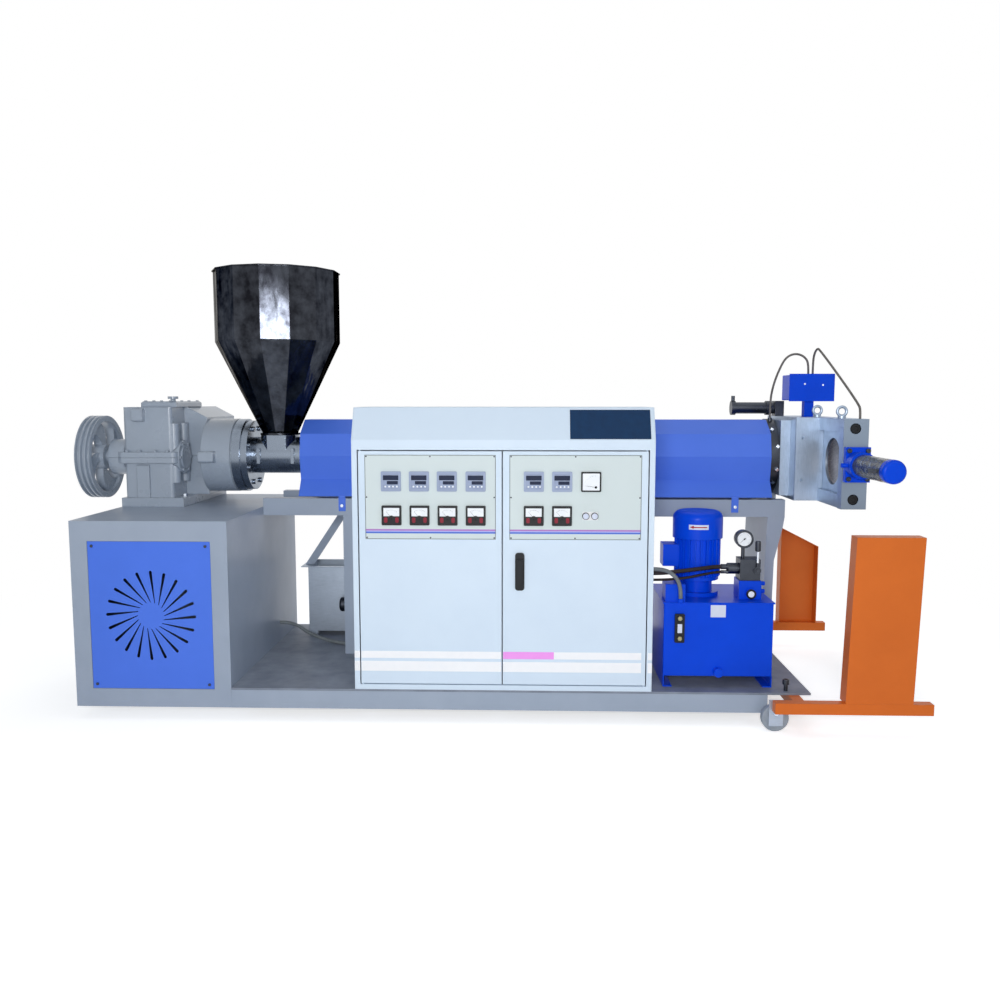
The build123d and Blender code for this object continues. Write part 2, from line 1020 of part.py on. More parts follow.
def input_pulley():
    hub_right = gearbox_left - boss_length - hub_gap
    hub_left = hub_right - hub_length
    rim_left = hub_left + (hub_length - pulley_width) / 2
    rim_right = rim_left + pulley_width
    rim = rod_x(pulley_radius, rim_left, rim_right, input_axis_y, axis_z)
    rim = rim - rod_x(
        pulley_radius - pulley_rim,
        rim_left - cut_over,
        rim_right + cut_over,
        input_axis_y,
        axis_z,
    )
    pitch = pulley_width / groove_count
    groove_half = pitch * groove_half_share
    for i in range(groove_count):
        centre = rim_left + pitch * i + pitch / 2
        profile = [
            (centre - groove_half, pulley_radius + cut_over),
            (centre - groove_half / 2, pulley_radius - groove_depth),
            (centre + groove_half / 2, pulley_radius - groove_depth),
            (centre + groove_half, pulley_radius + cut_over),
        ]
        points = [(x, input_axis_y, axis_z + z) for x, z in profile]
        face = make_face(Polyline(*points, close=True))
        groove = revolve(face, Axis((0, input_axis_y, axis_z), (1, 0, 0)))
        rim = rim - groove
    arms = []
    for i in range(arm_count):
        turn = 2 * math.pi / arm_count * i
        blade = extrude(pulley_arm(turn), amount=arm_thickness)
        arms.append(
            Pos((rim_left + rim_right - arm_thickness) / 2, input_axis_y, axis_z)
            * Rot(0, 90, 0)
            * blade
        )
    hub = rod_x(hub_radius, hub_left, hub_right, input_axis_y, axis_z)
    shaft_end = gearbox_nose_right - cap_thickness - cut_over
    shaft = rod_x(shaft_radius, hub_left, shaft_end, input_axis_y, axis_z)
    return joined([rim] + arms + [hub, shaft])


def thrust_flange():
    ring = rod_x(ring_radius, ring_left, flange_left, axis_y, axis_z)
    flange = rod_x(flange_radius, flange_left, feed_left, axis_y, axis_z)
    pieces = [ring, flange]
    for y, z in ring_of(flange_bolts, flange_bolt_circle, math.pi / flange_bolts):
        pieces.append(
            rod_x(
                flange_bolt_radius,
                feed_left,
                feed_left + flange_bolt_height,
                axis_y + y,
                axis_z + z,
            )
        )
    return joined(pieces)


def feed_barrel():
    tube = rod_x(feed_radius, feed_left, feed_right, axis_y, axis_z)
    seat = block(
        hopper_x - saddle_size / 2,
        hopper_x + saddle_size / 2,
        axis_y - saddle_size / 2,
        axis_y + saddle_size / 2,
        axis_z,
        axis_z + saddle_top,
    )
    round_seat = rod_z(hopper_flange_radius, axis_z, axis_z + saddle_top, hopper_x, axis_y)
    pieces = [tube, seat & round_seat]
    for place in (feed_rib_inset, feed_rib_inset + feed_rib_pitch):
        for side in (-1, 1):
            far = axis_y + side * (feed_radius + feed_rib_proud)
            near = axis_y + side * (feed_radius - feed_rib_height * feed_rib_root_share)
            pieces.append(
                block(
                    feed_left + place,
                    feed_left + place + feed_rib_width,
                    min(near, far),
                    max(near, far),
                    axis_z - feed_rib_height / 2,
                    axis_z + feed_rib_height / 2,
                )
            )
    throat = rod_z(
        throat_radius,
        axis_z + saddle_top - throat_depth,
        axis_z + saddle_top + cut_over,
        hopper_x,
        axis_y,
    )
    return joined(pieces) - throat


def facets(radius, z):
    """The many sided outline of the hopper at one height."""
    outline = RegularPolygon(radius, side_count=hopper_sides)
    return Pos(hopper_x, axis_y, z) * Rot(0, 0, hopper_turn) * outline


def hopper():
    """The straight upper part, with a turned bead round its rim."""
    rim = cone_top + hopper_mouth_height
    mouth = extrude(facets(hopper_radius, cone_top), amount=hopper_mouth_height)
    bead = extrude(facets(hopper_radius + hopper_bead, rim - hopper_bead), amount=hopper_bead)
    inner = extrude(
        facets(hopper_radius - hopper_wall, cone_top - cut_over),
        amount=hopper_mouth_height + 2 * cut_over,
    )
    return (mouth + bead) - inner


def hopper_cone():
    """The tapered lower part, with the round flange that it stands on."""
    outer = loft(
        [facets(hopper_neck_radius, cone_foot), facets(hopper_radius, cone_top)], ruled=True
    )
    slope = (hopper_radius - hopper_neck_radius) / hopper_cone_height
    low = hopper_neck_radius - hopper_wall - slope * cut_over
    high = hopper_radius - hopper_wall + slope * cut_over
    inner = loft([facets(low, cone_foot - cut_over), facets(high, cone_top + cut_over)], ruled=True)
    foot = rod_z(hopper_flange_radius, hopper_foot, cone_foot, hopper_x, axis_y)
    bore = rod_z(throat_radius, hopper_foot - cut_over, cone_foot + cut_over, hopper_x, axis_y)
    return (outer - inner) + (foot - bore)


def barrel():
    length = end_flange_left - feed_right
    tube = rod_x(barrel_radius, feed_right, end_flange_left, axis_y, axis_z)
    pitch = length / heater_count
    band = pitch * heater_share
    pieces = [tube]
    for i in range(heater_count):
        left = feed_right + pitch * i + (pitch - band) / 2
        pieces.append(rod_x(heater_radius, left, left + band, axis_y, axis_z))
    return joined(pieces)


def cover_line(inset):
    """The folded outline of the cover, seen from its end."""
    right = []
    for half, rise in zip(cover_half_widths, cover_heights):
        right.append((axis_y + half - inset, axis_z + rise - inset * cover_fold_share))
    left = [(2 * axis_y - y, z) for y, z in reversed(right)]
    return right + left


def barrel_cover():
    x0 = feed_right
    x1 = x0 + cover_length - seat_gap
    outer = prism_x(cover_line(0), x0, x1)
    low = axis_z + cover_heights[0]
    inner_line = cover_line(cover_sheet)
    first_y, first_z = inner_line[0]
    last_y, last_z = inner_line[-1]
    inner_line[0] = (first_y, first_z - 2 * cover_sheet)
    inner_line[-1] = (last_y, last_z - 2 * cover_sheet)
    inner = prism_x(inner_line, x0 - cut_over, x1 + cut_over)
    shell = outer - inner
    pieces = [shell]
    outer_front = axis_y - cover_half_widths[0]
    outer_back = axis_y + cover_half_widths[0]
    for place in cover_tab_places:
        left = x0 + place
        for y0, y1 in (
            (outer_front, outer_front + cover_sheet),
            (outer_back - cover_sheet, outer_back),
        ):
            pieces.append(
                block(
                    left,
                    left + cover_tab_width,
                    y0,
                    y1,
                    low - cover_tab_drop,
                    low + cover_sheet * 2,
                )
            )
    return joined(pieces)


def box_beam_x(x0, x1, y0, y1):
    """A square tube along X."""
    whole = block(x0, x1, y0, y1, beam_bottom, beam_top)
    hollow = block(
        x0 - cut_over,
        x1 + cut_over,
        y0 + beam_wall,
        y1 - beam_wall,
        beam_bottom + beam_wall,
        beam_top - beam_wall,
    )
    return whole - hollow


def support_beams():
    x1 = beam_right
    pieces = [
        box_beam_x(base_left, x1, beam_front, beam_front + beam_width),
        box_beam_x(base_left, x1, beam_back - beam_width, beam_back),
    ]
    pitch = (beam_length - tie_width) / tie_count
    for i in range(tie_count):
        left = base_left + pitch * (i + 1)
        pieces.append(
            block(
                left,
                left + tie_width,
                beam_front + beam_width,
                beam_back - beam_width,
                beam_bottom,
                beam_bottom + beam_width,
            )
        )
    low_tie = beam_bottom + beam_width
    last_saddle = base_left + pitch * (tie_count - 1)
    for left, right, top in (
        (last_saddle, last_saddle + tie_width, axis_z - heater_radius - seat_gap),
        (adapter_left, x1, axis_z - adapter_size / 2),
    ):
        pieces.append(
            block(left, right, axis_y - saddle_width, axis_y + saddle_width, low_tie, top)
        )
    return joined(pieces)


def pedestal_outline(inset):
    """The tapered front view of the end pedestal."""
    top_left = beam_right - pedestal_width_top
    foot_left = top_left - pedestal_lean
    return [
        (foot_left + inset, platform),
        (foot_left + pedestal_width_foot, platform),
        (foot_left + pedestal_width_foot + pedestal_lean / 2, beam_bottom - pedestal_kink_low_drop),
        (top_left + pedestal_width_mid, beam_bottom - pedestal_kink_high_drop),
        (top_left + pedestal_width_top, beam_bottom),
        (top_left + inset, beam_bottom),
    ]


def end_pedestal():
    outer = prism_y(pedestal_outline(0), beam_front, beam_back)
    shifted = [(x, z) for x, z in pedestal_outline(pedestal_sheet)]
    far = beam_right + cut_over
    hollow_line = [
        shifted[0],
        (far, platform),
        (far, beam_bottom),
        shifted[-1],
    ]
    hollow = prism_y(hollow_line, beam_front + pedestal_sheet, beam_back - pedestal_sheet)
    return outer - hollow


def middle_support():
    pieces = []
    for places, y0 in (
        (front_post_places, beam_front),
        (back_post_places, beam_back - post_width),
    ):
        for place in places:
            left = base_left + place
            pieces.append(
                block(left, left + post_width, y0, y0 + post_width, platform, beam_bottom)
            )
    rim_top = platform + box_foot_height + box_height
    low_x = box_left - box_rim + brace_thickness
    brace_line = [
        (low_x, rim_top),
        (low_x + brace_width, rim_top),
        (low_x + brace_width + brace_run, beam_bottom),
        (low_x + brace_run, beam_bottom),
    ]
    brace = prism_y(brace_line, beam_back - brace_thickness, beam_back)
    pieces.append(brace)
    return joined(pieces)


def water_box():
    z0 = platform + box_foot_height
    z1 = z0 + box_height
    x1 = box_left + box_length
    y1 = box_front + box_depth
    whole = block(box_left, x1, box_front, y1, z0, z1)
    rim = block(
        box_left - box_rim, x1 + box_rim, box_front - box_rim / 2, y1, z1 - box_wall, z1
    )
    hollow = block(
        box_left + box_wall,
        x1 - box_wall,
        box_front + box_wall,
        y1 - box_wall,
        z0 + box_wall,
        z1 + cut_over,
    )
    pieces = [(whole + rim) - hollow]
    for x in (box_left, x1 - box_foot_size):
        for y in (box_front, y1 - box_foot_size):
            pieces.append(block(x, x + box_foot_size, y, y + box_foot_size, platform, z0))
    return joined(pieces)


def water_pump():
    x0 = box_left + pump_offset
    y = box_front - pump_radius
    z = platform + pump_height
    body = rod_x(pump_radius, x0, x0 + pump_length, y, z)
    body = fillet(body.edges().sort_by(Axis.X)[0], pump_radius * pump_round_share)
    foot_left = x0 + pump_length / 2
    foot = block(
        foot_left,
        foot_left + pump_foot_width,
        y - pump_radius / 2,
        y + pump_radius / 2,
        platform,
        z,
    )
    return body + foot


def side_outline(drop):
    """The cabinet seen from its end, with the sloping head."""
    return [
        (0, platform + drop),
        (0, knee_height),
        (cabinet_slope, cabinet_top),
        (cabinet_depth, cabinet_top),
        (cabinet_depth, platform + drop),
    ]


def cabinet_sides():
    pieces = []
    for x0, stile in (
        (cabinet_left, cabinet_left),
        (cabinet_right - cabinet_wall, cabinet_right - cabinet_side_border + door_gap),
    ):
        wall = prism_x(side_outline(0), x0, x0 + cabinet_wall)
        front = block(
            stile,
            stile + cabinet_side_border - door_gap,
            0,
            cabinet_wall,
            door_bottom,
            door_top,
        )
        pieces.append(wall + front)
    return joined(pieces)


def cabinet_back():
    return block(
        cabinet_left + cabinet_wall,
        cabinet_right - cabinet_wall,
        cabinet_depth - cabinet_wall,
        cabinet_depth,
        platform,
        cabinet_top - cabinet_wall,
    )


def hinge_x(side):
    """The upright axis of a door's pivots."""
    if side < 0:
        return door_left + hinge_inset
    return door_right - hinge_inset


def cabinet_floor():
    x0 = cabinet_left + cabinet_wall
    x1 = cabinet_right - cabinet_wall
    front = block(x0, x1, 0, door_thickness, platform, door_bottom)
    floor = block(
        x0, x1, door_thickness, cabinet_depth - cabinet_wall, platform, platform + cabinet_wall
    )
    pieces = [front, floor]
    for side in (-1, 1):
        pieces.append(
            rod_z(
                hinge_pin_radius,
                door_bottom,
                door_bottom + hinge_pin_length,
                hinge_x(side),
                hinge_inset,
            )
        )
    return joined(pieces)


def cabinet_hood():
    x0 = cabinet_left + cabinet_wall
    x1 = cabinet_right - cabinet_wall
    wall = cabinet_wall
    line = [
        (0, door_top),
        (0, knee_height),
        (cabinet_slope, cabinet_top),
        (cabinet_depth, cabinet_top),
        (cabinet_depth, cabinet_top - wall),
        (cabinet_slope + wall, cabinet_top - wall),
        (wall, knee_height - wall),
        (wall, door_top + wall),
        (door_thickness, door_top + wall),
        (door_thickness, door_top),
    ]
    pieces = [prism_x(line, x0, x1)]
    for side in (-1, 1):
        pieces.append(
            rod_z(
                hinge_pin_radius,
                door_top - hinge_pin_length,
                door_top,
                hinge_x(side),
                hinge_inset,
            )
        )
    plate_left = cabinet_right - name_plate_left - name_plate_width
    slope_height = cabinet_top - knee_height
    slope_length = math.hypot(cabinet_slope, slope_height)
    lean = math.degrees(math.atan2(cabinet_slope, slope_height))
    sheet = Box(name_plate_width, name_plate_thickness, name_plate_height)
    along = (name_plate_rise + name_plate_height / 2) / slope_length
    plate_x = plate_left + name_plate_width / 2
    sheet = (
        Pos(plate_x, cabinet_slope * along, knee_height + slope_height * along)
        * Rot(-lean, 0, 0)
        * Pos(0, -name_plate_thickness / 2, 0)
        * sheet
    )
    pieces.append(sheet)
    return joined(pieces)


def door(side):
    """A folded sheet door with pivot holes in its outer edge."""
    if side < 0:
        x0 = door_left
        x1 = door_split - door_gap / 2
    else:
        x0 = door_split + door_gap / 2
        x1 = door_right
    z0 = door_bottom + door_gap
    z1 = door_top - door_gap
    pan = block(x0, x1, 0, door_thickness, z0, z1)
    hollow = block(
        x0 + door_edge,
        x1 - door_edge,
        door_skin,
        door_thickness + cut_over,
        z0 + door_edge,
        z1 - door_edge,
    )
    pan = pan - hollow
    bore = hinge_pin_radius + pin_gap
    for low, high in (
        (z0 - cut_over, door_bottom + hinge_pin_length + seat_gap),
        (door_top - hinge_pin_length - seat_gap, z1 + cut_over),
    ):
        pan = pan - rod_z(bore, low, high, hinge_x(side), hinge_inset)
    return pan


def panel_left(side):
    """Left edge of an instrument panel."""
    if side < 0:
        return door_left + left_panel_inset
    return door_split + door_gap / 2 + right_panel_inset


def instrument_panel(side):
    x0 = panel_left(side)
    return block(
        x0, x0 + panel_width, -panel_thickness, 0, panel_bottom, panel_bottom + panel_height
    )


def meter(x, z):
    """A square instrument with a raised frame round its window."""
    half = meter_size / 2
    front = -panel_thickness - meter_depth
    frame = block(x - half, x + half, front, -panel_thickness, z - half, z + half)
    frame = fillet(frame.edges().filter_by(Axis.Y), meter_corner)
    inner = half - meter_lens_inset
    window = block(
        x - inner, x + inner, front - cut_over, front + meter_lens_recess, z - inner, z + inner
    )
    return frame - window


def left_instruments():
    x0 = panel_left(-1)
    pieces = [meter(x0 + place, upper_row) for place in left_upper_places]
    pieces += [meter(x0 + place, lower_row) for place in left_lower_places]
    return joined(pieces)


def right_instruments():
    x0 = panel_left(1)
    pieces = [meter(x0 + place, upper_row) for place in right_upper_places]
    pieces += [meter(x0 + place, lower_row) for place in right_lower_places]
    for place in button_places:
        pieces.append(
            rod_y(
                button_radius,
                -panel_thickness - button_depth,
                -panel_thickness,
                x0 + place,
                lower_row,
            )
        )
    return joined(pieces)


def door_handle():
    x0 = door_split + handle_from_split - handle_width / 2
    case = block(
        x0, x0 + handle_width, -handle_depth / 2, 0, handle_bottom, handle_bottom + handle_height
    )
    case = fillet(case.edges().filter_by(Axis.Y), handle_width * handle_round_share)
    grip_left = x0 + (handle_width - grip_width) / 2
    grip_low = handle_bottom + (handle_height - grip_height) / 2
    grip = block(
        grip_left,
        grip_left + grip_width,
        -handle_depth / 2 - grip_depth,
        -handle_depth / 2,
        grip_low,
        grip_low + grip_height,
    )
    grip = fillet(grip.edges().filter_by(Axis.Y), grip_width * handle_round_share)
    return case + grip


def barrel_end_flange():
    x1 = adapter_left
    disc = rod_x(end_flange_radius, end_flange_left, x1, axis_y, axis_z)
    pieces = [disc]
    for y, z in ring_of(end_flange_bolts, end_flange_bolt_circle, math.pi / end_flange_bolts):
        pieces.append(
            rod_x(
                end_flange_bolt_radius,
                end_flange_left - end_flange_bolt_height,
                end_flange_left,
                axis_y + y,
                axis_z + z,
            )
        )
    lead_x, lead_y, lead_z = left_lead_route[-1]
    pieces.append(rod_z(lead_boss_radius, axis_z, lead_z, lead_x, lead_y))
    return joined(pieces)


def adapter_plate():
    half = adapter_size / 2
    return block(
        adapter_left, changer_left, axis_y - half, axis_y + half, axis_z - half, axis_z + half
    )


def eye_bolt(x, y):
    """A lifting eye on the top face."""
    collar = rod_z(eye_collar_radius, changer_top, changer_top + eye_collar_height, x, y)
    ring = (
        Pos(x, y, changer_top + eye_collar_height + eye_ring_radius)
        * Rot(90, 0, 0)
        * Torus(eye_ring_radius, eye_rod_radius)
    )
    return collar + ring


def slide_slot(y0, y1):
    """The guide that the slide plate runs in."""
    half = slide_thickness / 2 + seat_gap
    tall = slide_height / 2 + seat_gap
    return block(slide_x - half, slide_x + half, y0, y1, axis_z - tall, axis_z + tall)


def screen_changer_body():
    body = block(
        changer_left,
        changer_right,
        changer_front,
        axis_y + changer_half_depth,
        changer_bottom,
        changer_top,
    )
    body = chamfer(body.edges().filter_by(Axis.Z), changer_chamfer)
    body = body - slide_slot(changer_front - cut_over, axis_y + changer_half_depth + cut_over)
    body = body - rod_x(die_bore_radius, slide_x, changer_right + cut_over, axis_y, axis_z)
    for y, z in ring_of(die_bolt_count, die_bolt_circle):
        body = body - rod_x(
            die_bolt_radius,
            changer_right - die_bolt_depth,
            changer_right + cut_over,
            axis_y + y,
            axis_z + z,
        )
    for z in (axis_z - face_hole_pitch / 2, axis_z + face_hole_pitch / 2):
        body = body - rod_y(
            face_hole_radius,
            changer_front - cut_over,
            changer_front + face_hole_depth,
            changer_left + face_hole_inset,
            z,
        )
    return body + eye_bolt(arm_left + eye_inset, changer_front + eye_setback)


def slide_frame():
    """The two arms and the end block that carry the cylinder."""
    tall = slide_height / 2 + seat_gap
    pieces = []
    for z0, z1 in ((changer_bottom, axis_z - tall), (axis_z + tall, changer_top)):
        pieces.append(block(arm_left, changer_right, end_block_back, changer_front, z0, z1))
    end = block(
        end_block_left,
        changer_right,
        end_block_front,
        end_block_back,
        changer_bottom,
        changer_top,
    )
    screw_x = end_block_left + end_block_width * end_screw_share
    for z in (changer_bottom + end_screw_inset, changer_top - end_screw_inset):
        seat_back = end_block_front + end_screw_depth
        end = end - rod_y(end_screw_radius, end_block_front - cut_over, seat_back, screw_x, z)
        pieces.append(
            rod_y(
                end_screw_radius - cut_over,
                end_block_front + end_screw_depth * end_screw_seat_share,
                end_block_back - cut_over,
                screw_x,
                z,
            )
        )
    end = end - rod_y(
        rod_radius + pin_gap,
        end_block_front - cut_over,
        end_block_back + cut_over,
        slide_x,
        axis_z,
    )
    pieces.append(end)
    pieces.append(eye_bolt(arm_left + eye_inset, end_block_back + eye_setback / 2))
    return joined(pieces)


def breaker(y):
    """The ring of drilled holes that holds back the melt."""
    x0 = slide_x - slide_thickness / 2
    x1 = slide_x + slide_thickness / 2
    cutters = [
        rod_x(breaker_radius, x0 - cut_over, x0 + breaker_recess, y, axis_z),
        rod_x(breaker_radius, x1 - breaker_recess, x1 + cut_over, y, axis_z),
    ]
    spots = [(0, 0)]
    for row in range(1, breaker_rings + 1):
        spots += ring_of(6 * row, breaker_hole_pitch * row)
    for dy, dz in spots:
        cutters.append(
            rod_x(breaker_hole_radius, x0 - cut_over, x1 + cut_over, y + dy, axis_z + dz)
        )
    return cutters


def slide_plate():
    half = slide_thickness / 2
    tall = slide_height / 2
    plate = block(
        slide_x - half, slide_x + half, slide_front, slide_back, axis_z - tall, axis_z + tall
    )
    for y in (axis_y - slide_pitch, axis_y):
        for cutter in breaker(y):
            plate = plate - cutter
    rod = rod_y(rod_radius, slide_front - rod_length, slide_front, slide_x, axis_z)
    return plate + rod


def slide_cylinder():
    y1 = end_block_front
    flange = block(
        slide_x - cylinder_flange_width / 2,
        slide_x + cylinder_flange_width / 2,
        y1 - cylinder_flange_thickness,
        y1,
        axis_z - cylinder_flange_height / 2,
        axis_z + cylinder_flange_height / 2,
    )
    y2 = y1 - cylinder_flange_thickness
    neck = rod_y(cylinder_neck_radius, y2 - cylinder_neck_length, y2, slide_x, axis_z)
    y3 = y2 - cylinder_neck_length
    tube = rod_y(cylinder_tube_radius, y3 - cylinder_tube_length, y3, slide_x, axis_z)
    y4 = y3 - cylinder_tube_length
    cap = rod_y(cylinder_cap_radius, y4 - cylinder_cap_length, y4, slide_x, axis_z)
    cap = fillet(cap.edges().sort_by(Axis.Y)[0], cylinder_cap_length * cap_round_share)
    pieces = [flange, neck, tube, cap]
    for y in (y3 + cylinder_neck_length / 2, y4 + cylinder_neck_length / 2):
        reach = cylinder_neck_radius + port_length
        pieces.append(rod_x(port_radius, slide_x - reach, slide_x, y, axis_z))
    bore = rod_y(
        rod_radius + pin_gap,
        slide_front - rod_length - run_gap,
        y1 + cut_over,
        slide_x,
        axis_z,
    )
    return joined(pieces) - bore


def rear_cylinder():
    z = changer_top + clamp_axis_rise + clamp_radius / 2
    foot = block(
        changer_left,
        changer_left + clamp_foot_length,
        clamp_y - clamp_foot_width / 2,
        clamp_y + clamp_foot_width / 2,
        changer_top,
        z + clamp_collar_radius,
    )
    tube = rod_x(clamp_radius, changer_left - clamp_length, changer_left, clamp_y, z)
    pieces = [foot, tube]
    for left in (changer_left - clamp_length, changer_left - clamp_collar_length * 2):
        pieces.append(rod_x(clamp_collar_radius, left, left + clamp_collar_length, clamp_y, z))
    port_x = changer_left - clamp_length + clamp_collar_length / 2
    pieces.append(rod_z(port_radius, z, z + clamp_collar_radius + port_length, port_x, clamp_y))
    return joined(pieces)


def junction_box():
    x0 = changer_left + junction_from_body
    x1 = x0 + junction_width
    z0 = changer_top + junction_rise
    z1 = z0 + junction_height
    y1 = junction_front + junction_depth
    box = block(x0, x1, junction_front, y1, z0, z1)
    box = fillet(box.edges().filter_by(Axis.Y), junction_lid)
    lid = block(
        x0 - junction_lid,
        x1 + junction_lid,
        junction_front - junction_lid,
        junction_front,
        z0 - junction_lid,
        z1 + junction_lid,
    )
    post_left = x0 + junction_post_offset
    post = block(
        post_left,
        post_left + junction_post_width,
        junction_front + junction_post_width,
        junction_front + junction_post_width * 2,
        changer_top,
        z0,
    )
    return box + lid + post


def oil_tank():
    x0 = tank_left
    x1 = tank_right
    y0 = tank_front
    y1 = tank_front + tank_depth
    body = block(x0, x1, y0, y1, tank_bottom, tank_top)
    body = fillet(body.edges().filter_by(Axis.Z), tank_lid_margin)
    margin = tank_lid_margin
    lid = block(x0 - margin, x1 + margin, y0 - margin, y1 + margin, tank_top, lid_top)
    pieces = [body, lid]
    for left in (x0, x1 - tank_foot_width):
        wall_left = left if left == x0 else x1 - tank_lid_margin
        pieces.append(
            block(wall_left, wall_left + tank_lid_margin, y0, y1, platform, tank_bottom)
        )
        pieces.append(
            block(left, left + tank_foot_width, y0, y1, platform, platform + tank_lid_margin)
        )
    filler_left = x0 + filler_inset
    pieces.append(
        block(
            filler_left,
            filler_left + filler_width,
            y0 + filler_inset,
            y0 + filler_inset + filler_depth,
            lid_top,
            lid_top + filler_height,
        )
    )
    fitting_x, fitting_y, fitting_top = conduit_route[-1]
    fitting_low = fitting_top - elbow_height
    pieces.append(rod_z(elbow_radius, fitting_low, fitting_top, fitting_x, fitting_y))
    pieces.append(
        rod_y(
            elbow_height / 2,
            fitting_y,
            y0 + filler_inset + cut_over,
            fitting_x,
            fitting_top - elbow_height / 2,
        )
    )
    pieces.append(
        rod_y(
            drain_radius,
            y0 - drain_length,
            y0,
            x0 + drain_offset,
            tank_bottom + drain_radius,
        )
    )
    return joined(pieces)


def pump_motor():
    x = tank_left + motor_offset
    y = motor_y
    z0 = lid_top
    z1 = z0 + motor_flange_height
    z2 = z1 + motor_neck_height
    z3 = z2 + motor_body_height
    z4 = z3 + cowl_height
    pieces = [
        rod_z(motor_flange_radius, z0, z1, x, y),
        rod_z(motor_neck_radius, z1, z2, x, y),
        rod_z(motor_flange_radius, z2, z2 + motor_flange_height, x, y),
        rod_z(motor_body_radius, z2, z3, x, y),
    ]
    for i in range(motor_fins):
        fin = Box(motor_fin_height * 2, motor_fin_width, motor_body_height - motor_flange_height)
        turned = Rot(0, 0, 360.0 / motor_fins * i) * Pos(motor_body_radius, 0, 0) * fin
        pieces.append(Pos(x, y, (z2 + motor_flange_height + z3) / 2) * turned)
    cowl = rod_z(cowl_radius, z3, z4, x, y)
    cowl = fillet(cowl.edges().sort_by(Axis.Z)[-1], cowl_round)
    pieces.append(cowl)
    middle_z = (z2 + z3) / 2
    pieces.append(
        block(
            x - motor_body_radius - terminal_width,
            x - motor_body_radius / 2,
            y - terminal_depth / 2,
            y + terminal_depth / 2,
            middle_z - terminal_height * terminal_low_share,
            middle_z + terminal_height * (1 - terminal_low_share),
        )
    )
    return joined(pieces)


def manifold_box():
    """The X, Y and Z limits of the manifold block."""
    x0 = tank_left + manifold_left
    y0 = tank_front + manifold_front
    return x0, x0 + manifold_width, y0, y0 + manifold_depth, lid_top, lid_top + manifold_height


def valve_manifold():
    x0, x1, y0, y1, z0, z1 = manifold_box()
    body = block(x0, x1, y0, y1, z0, z1)
    cap = rod_y(
        manifold_cap_radius,
        y0 - manifold_cap_length,
        y0,
        (x0 + x1) / 2,
        z0 + manifold_height * manifold_low_port_share,
    )
    pieces = [body, cap]
    for share in (manifold_low_port_share, manifold_high_port_share):
        z = z0 + manifold_height * share
        pieces.append(rod_x(port_radius, x1, x1 + port_length, (y0 + y1) / 2, z))
    return joined(pieces)


def valve_block():
    x0, x1, y0, y1, z0, z1 = manifold_box()
    left = x0 + (manifold_width - valve_width) / 2
    front = y0 + (manifold_depth - valve_depth) / 2
    body = block(left, left + valve_width, front, front + valve_depth, z1, z1 + valve_height)
    middle_y = front + valve_depth / 2
    coil_z = z1 + valve_height / 2
    coil = rod_x(solenoid_radius, left - solenoid_length, left, middle_y, coil_z)
    pin = rod_y(
        lever_pin_radius,
        front - lever_pin_length,
        front,
        left + valve_width - lever_hub_radius,
        coil_z,
    )
    return body + coil + pin


def valve_lever():
    x0, x1, y0, y1, z0, z1 = manifold_box()
    left = x0 + (manifold_width - valve_width) / 2
    front = y0 + (manifold_depth - valve_depth) / 2
    x = left + valve_width - lever_hub_radius
    z = z1 + valve_height / 2
    hub_front = front - seat_gap - lever_hub_length
    middle = hub_front + lever_hub_length / 2
    hub = rod_y(lever_hub_radius, hub_front, hub_front + lever_hub_length, x, z)
    rod = rod_z(lever_rod_radius, z, z + lever_length, x, middle)
    knob_top = z + lever_length + lever_knob_length / 2
    knob = rod_z(lever_knob_radius, knob_top - lever_knob_length, knob_top, x, middle)
    knob = fillet(knob.edges(), lever_knob_radius / 2)
    bore = rod_y(
        lever_pin_radius + pin_gap, hub_front - cut_over, front + cut_over, x, z
    )
    return joined([hub, rod, knob]) - bore


def pressure_gauge():
    x0, x1, y0, y1, z0, z1 = manifold_box()
    x = x0 + manifold_width * gauge_place_share
    y = y0 + manifold_depth / 2
    top = z1 + valve_height
    z = top + gauge_stem_height + gauge_radius
    stem = rod_z(gauge_stem_radius, top, z, x, y)
    case = rod_y(gauge_radius, y - gauge_depth, y + gauge_depth / 2, x, z)
    window = rod_y(
        gauge_radius - gauge_stem_radius / 2,
        y - gauge_depth - cut_over,
        y - gauge_depth + gauge_lens_recess,
        x,
        z,
    )
    return stem + case - window


def level_gauge():
    x0 = tank_left + level_from_left
    z0 = tank_bottom + level_bottom
    plate = block(
        x0, x0 + level_width, tank_front - level_depth, tank_front, z0, z0 + level_height
    )
    return fillet(plate.edges().filter_by(Axis.Y), tank_lid_margin)


def stand_frame():
    top = stand_bottom + stand_bar
    cross_left = base_right + stand_cross_offset
    inner_front = stand_front + stand_bar
    inner_back = stand_back - stand_bar
    pieces = []
    for y0 in (stand_front, inner_back):
        pieces.append(block(stand_left, stand_right, y0, y0 + stand_bar, stand_bottom, top))
    pieces.append(
        block(
            cross_left,
            cross_left + stand_bar,
            inner_front,
            inner_back,
            stand_bottom,
            channel_top,
        )
    )
    return joined(pieces)


def front_upright():
    z0 = stand_bottom + stand_bar
    z1 = z0 + upright_height
    x0 = upright_left
    x1 = upright_left + upright_width
    line = [
        (x0, z0),
        (x1 - upright_lean, z0),
        (x1, z1),
        (x0 + upright_lean, z1),
    ]
    outer = prism_y(line, stand_front, stand_front + upright_depth)
    sheet = upright_sheet
    hollow_line = [
        (x0 + sheet, z0 - cut_over),
        (x1 - upright_lean - sheet, z0 - cut_over),
        (x1 - sheet, z1 - sheet),
        (x0 + upright_lean + sheet, z1 - sheet),
    ]
    hollow = prism_y(hollow_line, stand_front + sheet, stand_front + upright_depth + cut_over)
    return outer - hollow


